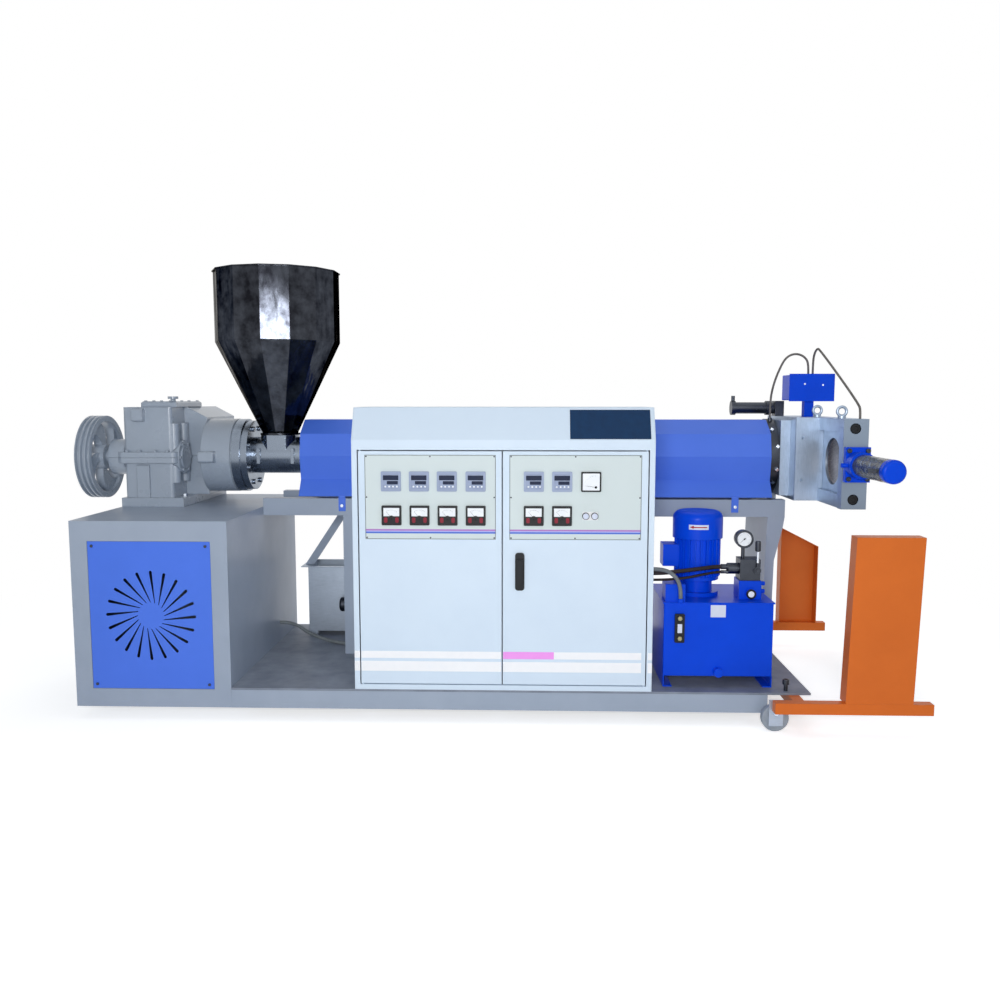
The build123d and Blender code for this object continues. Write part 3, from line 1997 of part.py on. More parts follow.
def back_upright():
    z0 = stand_bottom + stand_bar
    x0 = back_upright_left
    x1 = x0 + back_upright_width
    high = z0 + back_upright_height
    low = high - back_upright_fall
    y1 = stand_back
    y0 = y1 - upright_depth
    sheet = upright_sheet
    line = [(x0, z0), (x1, z0), (x1, low), (x0, high)]
    outer = prism_y(line, y0, y1)
    hollow_line = [
        (x0 + sheet, z0 - cut_over),
        (x1 - sheet, z0 - cut_over),
        (x1 - sheet, low - sheet),
        (x0 + sheet, high - sheet * back_upright_fold_share),
    ]
    hollow = prism_y(hollow_line, y0 - cut_over, y1 - sheet)
    return outer - hollow


def wheel_places():
    """Front faces of the two wheels, with the side that carries each axle."""
    gap = run_gap + wheel_hub_proud
    front = stand_front + stand_bar + gap
    back = stand_back - stand_bar - gap - wheel_width
    return [(front, -1), (back, 1)]


def caster_brackets():
    """Plates on the stand's bars that carry the wheel axles."""
    top = stand_bottom + stand_bar
    pieces = []
    for front, side in wheel_places():
        inner = stand_front + stand_bar if side < 0 else stand_back - stand_bar
        far = front + wheel_width + gap_past_wheel if side < 0 else front - gap_past_wheel
        plate = block(
            wheel_x - bracket_width / 2,
            wheel_x + bracket_width / 2,
            min(inner, inner - side * bracket_sheet),
            max(inner, inner - side * bracket_sheet),
            wheel_radius - bracket_width / 2,
            top,
        )
        axle = rod_y(wheel_bore - pin_gap, min(inner, far), max(inner, far), wheel_x, wheel_radius)
        pieces.append(plate + axle)
    return joined(pieces)


def caster_wheel(index):
    front, side = wheel_places()[index]
    tyre = rod_y(wheel_radius, front, front + wheel_width, wheel_x, wheel_radius)
    tyre = fillet(tyre.edges(), wheel_width * wheel_round_share)
    hub = rod_y(
        wheel_hub_radius,
        front - wheel_hub_proud,
        front + wheel_width + wheel_hub_proud,
        wheel_x,
        wheel_radius,
    )
    bore = rod_y(
        wheel_bore,
        front - wheel_hub_proud - cut_over,
        front + wheel_width + wheel_hub_proud + cut_over,
        wheel_x,
        wheel_radius,
    )
    return tyre + hub - bore


def cord(name, route, radius):
    """A round cord along straight runs joined by arcs, which prints its arcs and length."""
    corners = [Vector(*point) for point in route]
    arcs = []
    for before, here, after in zip(corners, corners[1:], corners[2:]):
        arrive = here - before
        leave = after - here
        half_turn = math.radians(arrive.get_angle(leave)) / 2
        arcs.append(arc_share * min(arrive.length, leave.length) / math.tan(half_turn))
    path = FilletPolyline(*route, radius=arcs)
    start = Plane(origin=corners[0], z_dir=corners[1] - corners[0])
    tube = sweep(start * Circle(radius), path=path)
    share = tube.volume / (math.pi * radius**2 * path.length)
    print(name, "length", round(path.length), "volume share", round(share, 4), end=" ")
    print("arcs in diameters", [round(arc / radius / 2, 1) for arc in arcs])
    return tube


nodes = {
    "base_frame": base_frame(),
    "platform_plate": platform_plate(),
    "levelling_feet": levelling_feet(),
    "drive_housing": drive_housing(),
    "vent_panel": vent_panel(),
    "gearbox_lower_case": gearbox_lower_case(),
    "gearbox_upper_case": gearbox_upper_case(),
    "inspection_cover": inspection_cover(),
    "bearing_cap": bearing_cap(),
    "gearbox_bell": gearbox_bell(),
    "input_pulley": input_pulley(),
    "thrust_flange": thrust_flange(),
    "feed_barrel": feed_barrel(),
    "hopper": hopper(),
    "hopper_cone": hopper_cone(),
    "barrel": barrel(),
    "barrel_cover": barrel_cover(),
    "support_beams": support_beams(),
    "end_pedestal": end_pedestal(),
    "middle_support": middle_support(),
    "water_box": water_box(),
    "water_pump": water_pump(),
    "cabinet_sides": cabinet_sides(),
    "cabinet_back": cabinet_back(),
    "cabinet_floor": cabinet_floor(),
    "cabinet_hood": cabinet_hood(),
    "left_door": door(-1),
    "right_door": door(1),
    "left_panel": instrument_panel(-1),
    "right_panel": instrument_panel(1),
    "left_instruments": left_instruments(),
    "right_instruments": right_instruments(),
    "door_handle": door_handle(),
    "barrel_end_flange": barrel_end_flange(),
    "adapter_plate": adapter_plate(),
    "screen_changer_body": screen_changer_body(),
    "slide_frame": slide_frame(),
    "slide_plate": slide_plate(),
    "slide_cylinder": slide_cylinder(),
    "rear_cylinder": rear_cylinder(),
    "junction_box": junction_box(),
    "oil_tank": oil_tank(),
    "pump_motor": pump_motor(),
    "valve_manifold": valve_manifold(),
    "valve_block": valve_block(),
    "valve_lever": valve_lever(),
    "pressure_gauge": pressure_gauge(),
    "level_gauge": level_gauge(),
    "stand_frame": stand_frame(),
    "front_upright": front_upright(),
    "back_upright": back_upright(),
    "caster_brackets": caster_brackets(),
    "front_wheel": caster_wheel(0),
    "rear_wheel": caster_wheel(1),
}
cords = {
    "motor_cable": (motor_cable_route, motor_cable_radius),
    "pump_conduit": (conduit_route, conduit_radius),
    "upper_hose": (upper_hose_route, upper_hose_radius),
    "lower_hose": (lower_hose_route, lower_hose_radius),
    "front_lead": (front_lead_route, lead_radius),
    "left_lead": (left_lead_route, lead_radius),
}
for name, (route, radius) in cords.items():
    nodes[name] = cord(name, route, radius)

# The origin is put on the floor under the middle of the whole machine
whole = Compound(children=[Compound(node.solids()) for node in nodes.values()])
middle = whole.bounding_box().center()
print("shift", -middle.X, -middle.Y)

os.makedirs("parts", exist_ok=True)
for name, node in nodes.items():
    placed = Pos(-middle.X, -middle.Y, 0) * Compound(node.solids())
    export_step(placed, f"parts/{name}.step")
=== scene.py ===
# %% [markdown]
# # Plastic extruder
#
# A single screw extruder melts plastic granules and presses them through a die. A motor
# drives the pulley on the left, the gearbox slows it down, the hopper drops granules into
# the feed barrel, and the heated barrel runs to the right under a folded blue cover. The
# solids come from the CAD frame. Blender gives them their real finishes, and adds what is
# too fine for the solids: dials, bolts, stripes, hoses and wire braid.

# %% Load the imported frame
import math

import bmesh
import bpy
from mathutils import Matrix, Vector


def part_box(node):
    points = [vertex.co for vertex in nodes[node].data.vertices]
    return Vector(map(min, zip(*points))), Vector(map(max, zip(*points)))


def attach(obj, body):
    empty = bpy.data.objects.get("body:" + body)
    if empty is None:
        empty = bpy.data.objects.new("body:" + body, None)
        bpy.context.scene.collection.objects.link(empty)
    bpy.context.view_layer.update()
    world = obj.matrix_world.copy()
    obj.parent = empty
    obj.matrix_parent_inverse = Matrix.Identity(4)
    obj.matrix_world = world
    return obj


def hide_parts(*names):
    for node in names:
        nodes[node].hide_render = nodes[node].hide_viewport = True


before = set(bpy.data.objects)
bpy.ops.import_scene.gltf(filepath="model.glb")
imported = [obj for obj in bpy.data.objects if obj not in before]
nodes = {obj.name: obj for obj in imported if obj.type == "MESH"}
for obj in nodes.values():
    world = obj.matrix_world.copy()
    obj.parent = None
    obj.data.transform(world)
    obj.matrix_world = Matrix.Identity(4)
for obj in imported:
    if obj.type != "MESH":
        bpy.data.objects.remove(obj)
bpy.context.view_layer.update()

# %% [markdown]
# The drawing's own zero lies at the front of the base, and its X zero 1112 mm to the right
# of the platform's left edge. All places below are read from that drawing, in metres, and
# `at` moves them into the frame. So they stay right if the frame is packed with another
# origin.

# %% The drawing's zero in the frame
PLATFORM_LEFT = 1.112
platform_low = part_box("platform_plate")[0]
zero = Vector((platform_low.x + PLATFORM_LEFT, platform_low.y, 0))


def at(x, y, z):
    """A place of the drawing, in metres, as a point of the frame."""
    return Vector((x, y, z)) + zero


def put_in(name, data):
    """A new object with this data, put into the scene."""
    made = bpy.data.objects.new(name, data)
    bpy.context.scene.collection.objects.link(made)
    return made


print("drawing zero", [round(v, 4) for v in zero])

# %% [markdown]
# The camera repeats the photograph's: a little above the cabinet, nearly square on, and
# tilted down six degrees. Its place and lens were fitted to the corners of the machine.

# %% Camera
SENSOR_MM = 36.0
LENS_MM = 33.68
TILT_DOWN = 6.139
TURN_LEFT = 1.779
camera = put_in("camera", bpy.data.cameras.new("camera"))
camera.data.sensor_width = SENSOR_MM
camera.data.lens = LENS_MM
camera.location = at(-0.0035, -3.3665, 1.1949)
camera.rotation_euler = (math.radians(90 - TILT_DOWN), 0, math.radians(TURN_LEFT))
bpy.context.scene.camera = camera
print("camera at", [round(v, 3) for v in camera.location])

# %% [markdown]
# One function turns a hex colour, as a screen shows it, into the linear light that the
# shaders work in, and one adds a node with its settings and its inputs. A value that is
# another node's socket is linked, and any other is written on the node's own socket. Every
# finish needs noise and a ramp, so these have a function each.

# %% Colour and node helpers
def linear(code):
    """The linear colour of a hex code such as 9DAABC."""
    parts = [int(code[i:i + 2], 16) / 255 for i in (0, 2, 4)]
    return [p / 12.92 if p <= 0.04045 else ((p + 0.055) / 1.055) ** 2.4 for p in parts] + [1]


def feed(tree, node, inputs):
    """Feeds values or other nodes' sockets to a node's inputs, by name or by number."""
    for key, value in inputs.items():
        if isinstance(value, bpy.types.NodeSocket):
            tree.links.new(value, node.inputs[key])
        else:
            node.inputs[key].default_value = value


def add(tree, kind, inputs=None, **settings):
    """Adds one node, with its settings and its inputs."""
    node = tree.nodes.new(kind)
    for key, value in settings.items():
        setattr(node, key, value)
    feed(tree, node, inputs or {})
    return node


def per_mm(size):
    """The scale of a pattern whose parts are this many millimetres across."""
    return 1000 / size


def ramp(tree, value, low, high, start=0.0, end=1.0, **settings):
    """Takes a value from between low and high to between start and end."""
    return add(tree, "ShaderNodeMapRange", {"Value": value, "From Min": low, "From Max": high,
        "To Min": start, "To Max": end}, **settings).outputs[0]


def noise(tree, spot, size, detail, roughness=0.5):
    """Cloudy noise whose parts are this many millimetres across."""
    return add(tree, "ShaderNodeTexNoise", {"Vector": spot, "Scale": per_mm(size),
        "Detail": detail, "Roughness": roughness}).outputs["Fac"]


def seen_direct(tree):
    """One for camera and mirror rays, and zero for light that bounces between surfaces."""
    path = add(tree, "ShaderNodeLightPath")
    return add(tree, "ShaderNodeMath", {0: path.outputs["Is Camera Ray"],
        1: path.outputs["Is Glossy Ray"]}, operation="MAXIMUM").outputs[0]


print("grey enamel", [round(v, 3) for v in linear("9DAABC")])

# %% [markdown]
# The studio is plain: a pale floor that keeps the machine's shadow and fades to white, a
# white world that camera and mirror rays see at full strength, and four large soft lamps.
# The key lamp hangs behind the camera and a little above it, so that one facet of the
# polished hopper mirrors it at its foot.

# %% World, floor and lamps
scene = bpy.context.scene
scene.view_settings.view_transform = "Standard"
WORLD_FILL = 0.26
world = bpy.data.worlds.new("studio")
scene.world = world
world.use_nodes = True
tree = world.node_tree
tree.nodes.clear()
fill = add(tree, "ShaderNodeBackground", {"Color": linear("F4F8FF"), "Strength": WORLD_FILL})
white = add(tree, "ShaderNodeBackground", {"Color": linear("FFFFFF"), "Strength": 1.0})
both = add(tree, "ShaderNodeMixShader", {0: seen_direct(tree), 1: fill.outputs[0],
    2: white.outputs[0]})
add(tree, "ShaderNodeOutputWorld", {"Surface": both.outputs[0]})

FLOOR_HALF = 30.0
# The paper glows a little, and turns wholly white between these distances from the middle.
PAPER_LIFT = 0.6
FADE_START, FADE_END = 1.6, 3.4
floor_mesh = bpy.data.meshes.new("studio_floor")
floor_mesh.from_pydata([(x * FLOOR_HALF, y * FLOOR_HALF, 0) for x, y in ((-1, -1), (1, -1),
    (1, 1), (-1, 1))], [], [(0, 1, 2, 3)])
put_in("studio_floor", floor_mesh)
paper = bpy.data.materials.new("white_studio_paper")
paper.use_nodes = True
tree = paper.node_tree
tree.nodes.clear()
spot = add(tree, "ShaderNodeTexCoord").outputs["Object"]
far = add(tree, "ShaderNodeVectorMath", {0: spot}, operation="LENGTH")
fade = ramp(tree, far.outputs["Value"], FADE_START, FADE_END, interpolation_type="SMOOTHSTEP")
seen = seen_direct(tree)
share = add(tree, "ShaderNodeMath", {0: fade, 1: seen}, operation="MULTIPLY")
matt = add(tree, "ShaderNodeBsdfDiffuse", {"Color": linear("F4F6F8")})
lifted = add(tree, "ShaderNodeMath", {0: seen, 1: PAPER_LIFT}, operation="MULTIPLY")
pale = add(tree, "ShaderNodeEmission", {"Color": linear("FFFFFF"), "Strength": lifted.outputs[0]})
near = add(tree, "ShaderNodeAddShader", {0: matt.outputs[0], 1: pale.outputs[0]})
glow = add(tree, "ShaderNodeEmission", {"Color": linear("FFFFFF"), "Strength": 1.0})
both = add(tree, "ShaderNodeMixShader", {0: share.outputs[0], 1: near.outputs[0],
    2: glow.outputs[0]})
add(tree, "ShaderNodeOutputMaterial", {"Surface": both.outputs[0]})
floor_mesh.materials.append(paper)

LAMPS = {
    "key_lamp": ((-0.1, -4.75, 1.5), 1.0, 101),
    "fill_lamp": ((2.6, -4.4, 2.6), 2.0, 15),
    "top_lamp": ((0.2, 0.3, 4.6), 3.2, 32),
    "back_lamp": ((0.4, 4.6, 2.6), 2.4, 60),
}
AIM = Vector((0, 0, 0.8))
for name, (spot, size, watts) in LAMPS.items():
    lamp = bpy.data.lights.new(name, "AREA")
    lamp.shape = "SQUARE"
    lamp.size = size
    lamp.energy = watts
    holder = put_in(name, lamp)
    holder.location = spot
    # In a mirror the back lamp would lay pale streaks on faces that are seen at a slant.
    holder.visible_glossy = name != "back_lamp"
    holder.rotation_euler = (AIM - Vector(spot)).to_track_quat("-Z", "Y").to_euler()
    print(name, size, "m", watts, "W")

# %% [markdown]
# Enamel is paint on sheet or cast metal. What the eye gets from it is an even colour with
# faint clouds, a gloss that wavers like orange peel, and a bright line where light catches
# a rounded edge. The Bevel node rounds the normals at the edges, and two noises do the rest.

# %% The paint finish
def blank(name):
    """A new material, its tree, its shader, and the place of each point of the piece."""
    made = bpy.data.materials.new(name)
    made.use_nodes = True
    tree = made.node_tree
    spot = add(tree, "ShaderNodeTexCoord").outputs["Object"]
    return made, tree, tree.nodes["Principled BSDF"], spot


def paint(name, tint, deep, roughness, peel=3.0, peel_lift=0.00012, clouds=220.0, edge=0.002,
        coat=0.05, blend=0.35, shine=0.3):
    """A painted or powder coated metal. Tint and deep are its colour and its shade."""
    made, tree, shader, spot = blank(name)
    cloud = noise(tree, spot, clouds, 5.0, 0.6)
    colour = add(tree, "ShaderNodeMix", {0: ramp(tree, cloud, 0.35, 0.75, 0, blend),
        6: linear(tint), 7: linear(deep)}, data_type="RGBA")
    rounded = add(tree, "ShaderNodeBevel", {"Radius": edge}, samples=4)
    lift = add(tree, "ShaderNodeBump", {"Height": noise(tree, spot, peel, 2.0), "Strength": 0.6,
        "Distance": peel_lift, "Normal": rounded.outputs["Normal"]})
    gloss = ramp(tree, cloud, 0, 1, roughness - 0.06, roughness + 0.1)
    feed(tree, shader, {"Base Color": colour.outputs[2], "Roughness": gloss,
        "Normal": lift.outputs["Normal"], "Coat Weight": coat, "Coat Roughness": 0.12,
        "Specular IOR Level": shine})
    return made


finishes = {
    # Grey machine enamel, sprayed: glossy with soft clouds where it went on thicker.
    "grey_enamel": paint("grey_enamel_sprayed", "A2AEBF", "8492A6", 0.34),
    # The same enamel on the platform, dulled by feet and dust, and a darker grey as painted
    # shade, since the light reaches its flat top at a slant.
    "worn_and_shaded_enamel": paint("grey_enamel_trodden_painted_shade", "8A92A0", "6C7482", 0.5, clouds=90, blend=0.8,
        coat=0.03),
    # Enamel on rough sand castings: the sand's grain shows through the gloss.
    "cast_enamel": paint("grey_enamel_on_sand_casting", "A0ACBB", "8693A3", 0.26, peel=5.0,
        peel_lift=0.0006, edge=0.007, coat=0.3, shine=0.5),
    # Blue enamel of the barrel cover and the vent panel, flat sheet, semi gloss.
    "cover_blue": paint("light_blue_enamel_on_sheet", "4E7AEA", "446FD8", 0.42, coat=0.03),
    # Deep blue enamel of the power pack, glossier than the sheet's.
    "deep_blue": paint("deep_blue_enamel", "0049E2", "0036B8", 0.3, coat=0.03, shine=0.12),
    # Pale powder coat of the cabinet: the finest peel and the most even colour.
    "powder_coat": paint("pale_powder_coat", "D8E8F7", "CBDCEE", 0.46, peel=1.6, coat=0.03),
    # Orange enamel of the outfeed stand.
    "orange": paint("orange_enamel_on_sheet", "DC6E20", "C35C15", 0.42),
}
print("paints", len(finishes))

# %% [markdown]
# Bare steel tells its making by its grain: grinding leaves fine lines one way, rolling a
# faint mottle, polishing almost nothing. So one finish serves all bare metal, with a noise
# that is drawn out along the grain for the lines, and a second for the mottle.

# %% The bare metal finish
def metal(name, tint, deep, roughness, grain=(1, 1, 1), line=1.5, mottle=60.0, blend=0.5,
        lift=0.00004, edge=0.0015, spread=0.12, rim="FFFFFF"):
    """A bare metal. Grain holds how far the lines are squeezed along X, Y and Z."""
    made, tree, shader, spot = blank(name)
    drawn = add(tree, "ShaderNodeMapping", {"Vector": spot, "Scale": grain})
    lines = noise(tree, drawn.outputs[0], line, 3.0)
    mixed = add(tree, "ShaderNodeMix", {0: 0.5, 2: lines, 3: noise(tree, spot, mottle, 6.0, 0.65)},
        data_type="FLOAT").outputs[0]
    colour = add(tree, "ShaderNodeMix", {0: ramp(tree, mixed, 0.35, 0.65, 0, blend),
        6: linear(tint), 7: linear(deep)}, data_type="RGBA")
    rounded = add(tree, "ShaderNodeBevel", {"Radius": edge}, samples=4)
    raised = add(tree, "ShaderNodeBump", {"Height": lines, "Strength": 0.5,
        "Distance": lift, "Normal": rounded.outputs["Normal"]})
    gloss = ramp(tree, mixed, 0.3, 0.7, roughness, roughness + spread)
    feed(tree, shader, {"Metallic": 1.0, "Base Color": colour.outputs[2],
        "Roughness": gloss, "Normal": raised.outputs["Normal"],
        "Specular Tint": linear(rim)})
    return made


finishes.update({
    # Steel ground flat: bright, with vertical lines from the grinding wheel.
    "ground": metal("ground_carbon_steel", "A4B2C4", "7C899A", 0.36, grain=(1, 1, 0.05)),
    # Turned steel of the feed barrel and its flange: lines run round the axis.
    "turned": metal("turned_carbon_steel", "87919F", "5A6471", 0.2, grain=(1, 0.08, 0.08),
        mottle=25.0, blend=0.3),
    # Blackened steel: flange, feet and valves, oiled and dark.
    "blackened": metal("blackened_steel", "4A4E56", "24262B", 0.32),
    # Mirror polished stainless sheet. Its dark tint, its dark clouds and its dark rim are a
    # painted reflection of a dark hall.
    "mirror": metal("mirror_stainless_painted_dark_reflection", "4C5058", "1B1C21", 0.05, grain=(1, 1, 0.25),
        line=110.0, mottle=45.0, blend=1.0, lift=0.012, spread=0.12, rim="4A4744"),
    # Cold rolled sheet of the water box, satin.
    "satin": metal("satin_stainless_sheet", "A9B4C2", "87919F", 0.35, grain=(0.05, 1, 1)),
    # Zinc plated bolts: the brightest small parts.
    "zinc": metal("zinc_plated_steel", "DDE6F0", "B4BFCC", 0.2),
    "brass": metal("tarnished_brass", "A39D7C", "6F6A50", 0.3),
})
print("finishes", len(finishes))

# %% [markdown]
# Plastics and rubber are simple: one colour with a little unevenness, and a fine moulded
# grain in the gloss.

# %% The plastic finish
def plastic(name, tint, deep, roughness, grain=1.2, lift=0.00005, coat=0.0):
    """A moulded plastic or rubber."""
    made = paint(name, tint, deep, roughness, peel=grain, peel_lift=lift, clouds=30.0, edge=0.0008,
        coat=coat, blend=0.6)
    tree = made.node_tree
    feed(tree, tree.nodes["Principled BSDF"], {"IOR": 1.46, "Specular IOR Level": 0.25})
    return made


finishes.update({
    "black_plastic": plastic("black_abs_moulding", "1B1D21", "0F1013", 0.38),
    "wheel_grey": plastic("grey_polyamide_wheel", "9BA4AE", "808994", 0.45),
    "cable": plastic("grey_pvc_conduit", "7E8588", "5E6468", 0.5),
    "braid": plastic("glass_fibre_braid", "77736F", "3F3C3A", 0.6, grain=2.2, lift=0.0006),
    "hose": plastic("black_hydraulic_rubber", "2B2225", "191416", 0.42, grain=1.5),
    "controller": plastic("grey_blue_abs_moulding", "9DAAC6", "8A98B6", 0.45),
    "display": plastic("smoked_display_window", "26304A", "1B2236", 0.12),
    "white_face": plastic("white_dial_card", "F6FAFE", "ECF2FA", 0.5),
    "ink": plastic("black_printing_ink", "15161A", "0B0C0E", 0.5),
    "red_cap": plastic("dark_red_moulding", "8E1F33", "5E1322", 0.3),
    "navy_plate": plastic("navy_acrylic_plate", "0C3359", "0A2848", 0.3),
    "label": plastic("plain_white_label", "DCE3F4", "CDD5EA", 0.45),
    "red_ink": plastic("red_printing_ink", "B8313F", "9A2632", 0.5),
    "white_band": plastic("white_vinyl_band", "FCFDFF", "F5F8FC", 0.35),
    "pink_band": plastic("pink_vinyl_band", "F9A3F5", "F49AEE", 0.35),
    "film": plastic("stretch_film", "4A4E57", "23262C", 0.24, grain=14.0, lift=0.003, coat=0.2),
})
print("finishes", len(finishes))

# %% [markdown]
# The instrument panels are grey anodised plates with a purple and a blue line printed right
# across. The lines follow the height above the floor, so one colour ramp with hard steps
# draws them on both panels.

# %% Instrument panel finish
panel_low, panel_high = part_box("left_panel")
LINES = [(0.0, "D3DFE0"), (0.0211, "4A6FD6"), (0.0274, "B4BDF0"), (0.0308, "B57CC6"),
    (0.0362, "D3DFE0")]
panel_finish = paint("printed_panel_plate", "D3DFE0", "C6D3D6", 0.5, peel=1.2, coat=0.05)
tree = panel_finish.node_tree
spot = add(tree, "ShaderNodeTexCoord").outputs["Object"]
height = add(tree, "ShaderNodeSeparateXYZ", {0: spot}).outputs["Z"]
steps = add(tree, "ShaderNodeValToRGB", {"Fac": ramp(tree, height, panel_low.z, panel_high.z)})
steps.color_ramp.interpolation = "CONSTANT"
panel_height = panel_high.z - panel_low.z
while len(steps.color_ramp.elements) < len(LINES):
    steps.color_ramp.elements.new(0.5)
for element, (start, code) in zip(steps.color_ramp.elements, LINES):
    element.position = start / panel_height
    element.color = linear(code)
shader = tree.nodes["Principled BSDF"]
tree.links.new(steps.outputs["Color"], shader.inputs["Base Color"])
finishes["panel"] = panel_finish
print("panel is", round(panel_height, 3), "m high")

# %% [markdown]
# Some solids hold two finishes, such as a meter's grey front beside a black one, or the end
# block of the slide frame, which is darker than its arms. Where a box in space holds the
# second finish, its colour is mixed in by place, with hard edges. The same mixing paints
# shade, a dark grey, on the side plate of the end pedestal.

# %% Two finishes on one solid
def two_tone(name, first, colour, roughness, low, high):
    """The first finish, with this colour and roughness in the box from low to high. Where
    the roughness is None, the first finish's stays."""
    made = finishes[first].copy()
    made.name = name
    tree = made.node_tree
    shader = tree.nodes["Principled BSDF"]
    spot = add(tree, "ShaderNodeTexCoord").outputs["Object"]
    middle, half = (Vector(low) + Vector(high)) / 2, (Vector(high) - Vector(low)) / 2
    moved = add(tree, "ShaderNodeVectorMath", {0: spot, 1: middle}, operation="SUBTRACT")
    size = add(tree, "ShaderNodeVectorMath", {0: moved.outputs[0], 1: half}, operation="DIVIDE")
    size = add(tree, "ShaderNodeVectorMath", {0: size.outputs[0]}, operation="ABSOLUTE")
    parts = add(tree, "ShaderNodeSeparateXYZ", {0: size.outputs[0]})
    most = add(tree, "ShaderNodeMath", {0: parts.outputs[0], 1: parts.outputs[1]},
        operation="MAXIMUM")
    most = add(tree, "ShaderNodeMath", {0: most.outputs[0], 1: parts.outputs[2]},
        operation="MAXIMUM")
    inside = add(tree, "ShaderNodeMath", {0: most.outputs[0], 1: 1.0}, operation="LESS_THAN")
    # The Mix node keeps its colours at sockets 6 and 7, and its numbers at 2 and 3.
    for socket, value, kind, start, out in (("Base Color", linear(colour), "RGBA", 6, 2),
            ("Roughness", roughness, "FLOAT", 2, 0)):
        if value is not None:
            before = shader.inputs[socket].links[0].from_socket
            mixed = add(tree, "ShaderNodeMix", {0: inside.outputs[0], start: before,
                start + 1: value}, data_type=kind)
            tree.links.new(mixed.outputs[out], shader.inputs[socket])
    return made


BIG = 9.0
TWO_TONES = {
    "left_meters": ("black_and_grey_mouldings", "black_plastic", "9AA7C3", None,
        (-BIG, -BIG, 0.85), (BIG, BIG, BIG)),
    "right_meters": ("black_and_grey_mouldings_right", "black_plastic", "9FACC8", None,
        (-BIG, -BIG, 0.85), (0.17, BIG, BIG)),
    "slide_frame": ("ground_steel_with_dull_block", "ground", "7A8797", 0.42,
        (-BIG, 0.1325, 0.5), (BIG, 0.1345, 1.13)),
    "cylinder": ("blue_cylinder_with_steel_tube", "deep_blue", "4A4E56", 0.25,
        (-BIG, -0.2105, 0.5), (BIG, 0.05, BIG)),
    "lever": ("black_lever_with_bright_rod", "blackened", "D3DAE2", None,
        (-BIG, -BIG, 0.585), (BIG, BIG, 0.628)),
    # The end pedestal's side plate turns dark grey here as painted shade: that side lies in shade.
    "pedestal": ("grey_enamel_with_painted_shade_side", "grey_enamel", "4A4F59", None,
        (0.95, 0.49, 0.1), (0.9655, 0.87, 0.72)),
}
for key, (*row, low, high) in TWO_TONES.items():
    finishes[key] = two_tone(*row, at(*low), at(*high))
print("two tone finishes", len(TWO_TONES))

# %% [markdown]
# Each CAD solid keeps its shape and takes the finish of the real piece.

# %% Finish every CAD solid
CAD_FINISH = {
    "grey_enamel": ["base_frame", "drive_housing", "support_beams", "middle_support"],
    "pedestal": ["end_pedestal"],
    "lever": ["valve_lever"],
    "worn_and_shaded_enamel": ["platform_plate"],
    "cast_enamel": ["gearbox_lower_case", "gearbox_upper_case", "inspection_cover", "bearing_cap",
        "gearbox_bell", "input_pulley"],
    "cover_blue": ["barrel_cover", "vent_panel"],
    "deep_blue": ["junction_box", "oil_tank", "pump_motor", "valve_manifold"],
    "cylinder": ["slide_cylinder"],
    "powder_coat": ["cabinet_sides", "cabinet_back", "cabinet_floor", "cabinet_hood", "left_door",
        "right_door"],
    "panel": ["left_panel", "right_panel"],
    "left_meters": ["left_instruments"],
    "right_meters": ["right_instruments"],
    "orange": ["stand_frame", "front_upright", "back_upright"],
    "ground": ["adapter_plate", "screen_changer_body", "slide_plate", "barrel"],
    "slide_frame": ["slide_frame"],
    "turned": ["feed_barrel", "thrust_flange"],
    "blackened": ["barrel_end_flange", "levelling_feet", "rear_cylinder", "valve_block",
        "pressure_gauge", "water_pump"],
    "mirror": ["hopper", "hopper_cone"],
    "satin": ["water_box", "caster_brackets"],
    "black_plastic": ["door_handle", "level_gauge"],
    "wheel_grey": ["front_wheel", "rear_wheel"],
    "cable": ["motor_cable", "pump_conduit", "front_lead", "left_lead"],
    "hose": ["upper_hose", "lower_hose"],
}
for finish, names in CAD_FINISH.items():
    for name in names:
        mesh = nodes[name].data
        mesh.materials.clear()
        mesh.materials.append(finishes[finish])
print("solids finished", sum(map(len, CAD_FINISH.values())), "of", len(nodes))

# %% [markdown]
# Cables and hoses follow the routes of the CAD drawing as one smooth line each, a NURBS
# curve that the route's points pull into shape. Braided leads and hoses are round, so a
# curve with a round section is enough. The two conduits are corrugated, so their skin is
# a mesh whose radius goes up and down along the same line.

# %% Routes and smooth lines
ROUTES = {
    "motor_cable": [(-1.112, .700, .205), (-1.050, .700, .205), (-.983, .692, .158),
        (-.896, .668, .132), (-.790, .612, .1325), (-.684, .548, .132), (-.572, .506, .133),
        (-.504, .498, .142), (-.440, .494, .159), (-.384, .486, .173), (-.348, .460, .183),
        (-.328, .422, .188), (-.328, .380, .188)],
    "pump_conduit": [(.450, .064, .571), (.496, .064, .571), (.536, .0615, .5485),
        (.559, .057, .508), (.559, .057, .462)],
    "upper_hose": [(.752, .160, .564), (.712, .160, .564), (.652, .132, .562), (.572, .113, .555),
        (.494, .104, .548), (.450, .104, .548)],
    "lower_hose": [(.752, .160, .544), (.712, .160, .544), (.656, .137, .538), (.580, .119, .526),
        (.505, .112, .521), (.450, .112, .521)],
    "front_lead": [(1.190, .650, 1.296), (1.190, .650, 1.358), (1.190, .6325, 1.387),
        (1.190, .6025, 1.403), (1.190, .5685, 1.402), (1.222, .1655, 1.176), (1.222, .152, 1.151),
        (1.222, .152, 1.123)],
    "left_lead": [(1.166, .630, 1.296), (1.166, .630, 1.344), (1.151, .630, 1.370),
        (1.124, .630, 1.384), (1.094, .630, 1.3825), (1.069, .630, 1.3655), (1.050, .630, 1.331),
        (1.028, .630, 1.275), (1.014, .630, 1.216), (1.0115, .630, 1.162), (1.0115, .630, 1.118)],
}


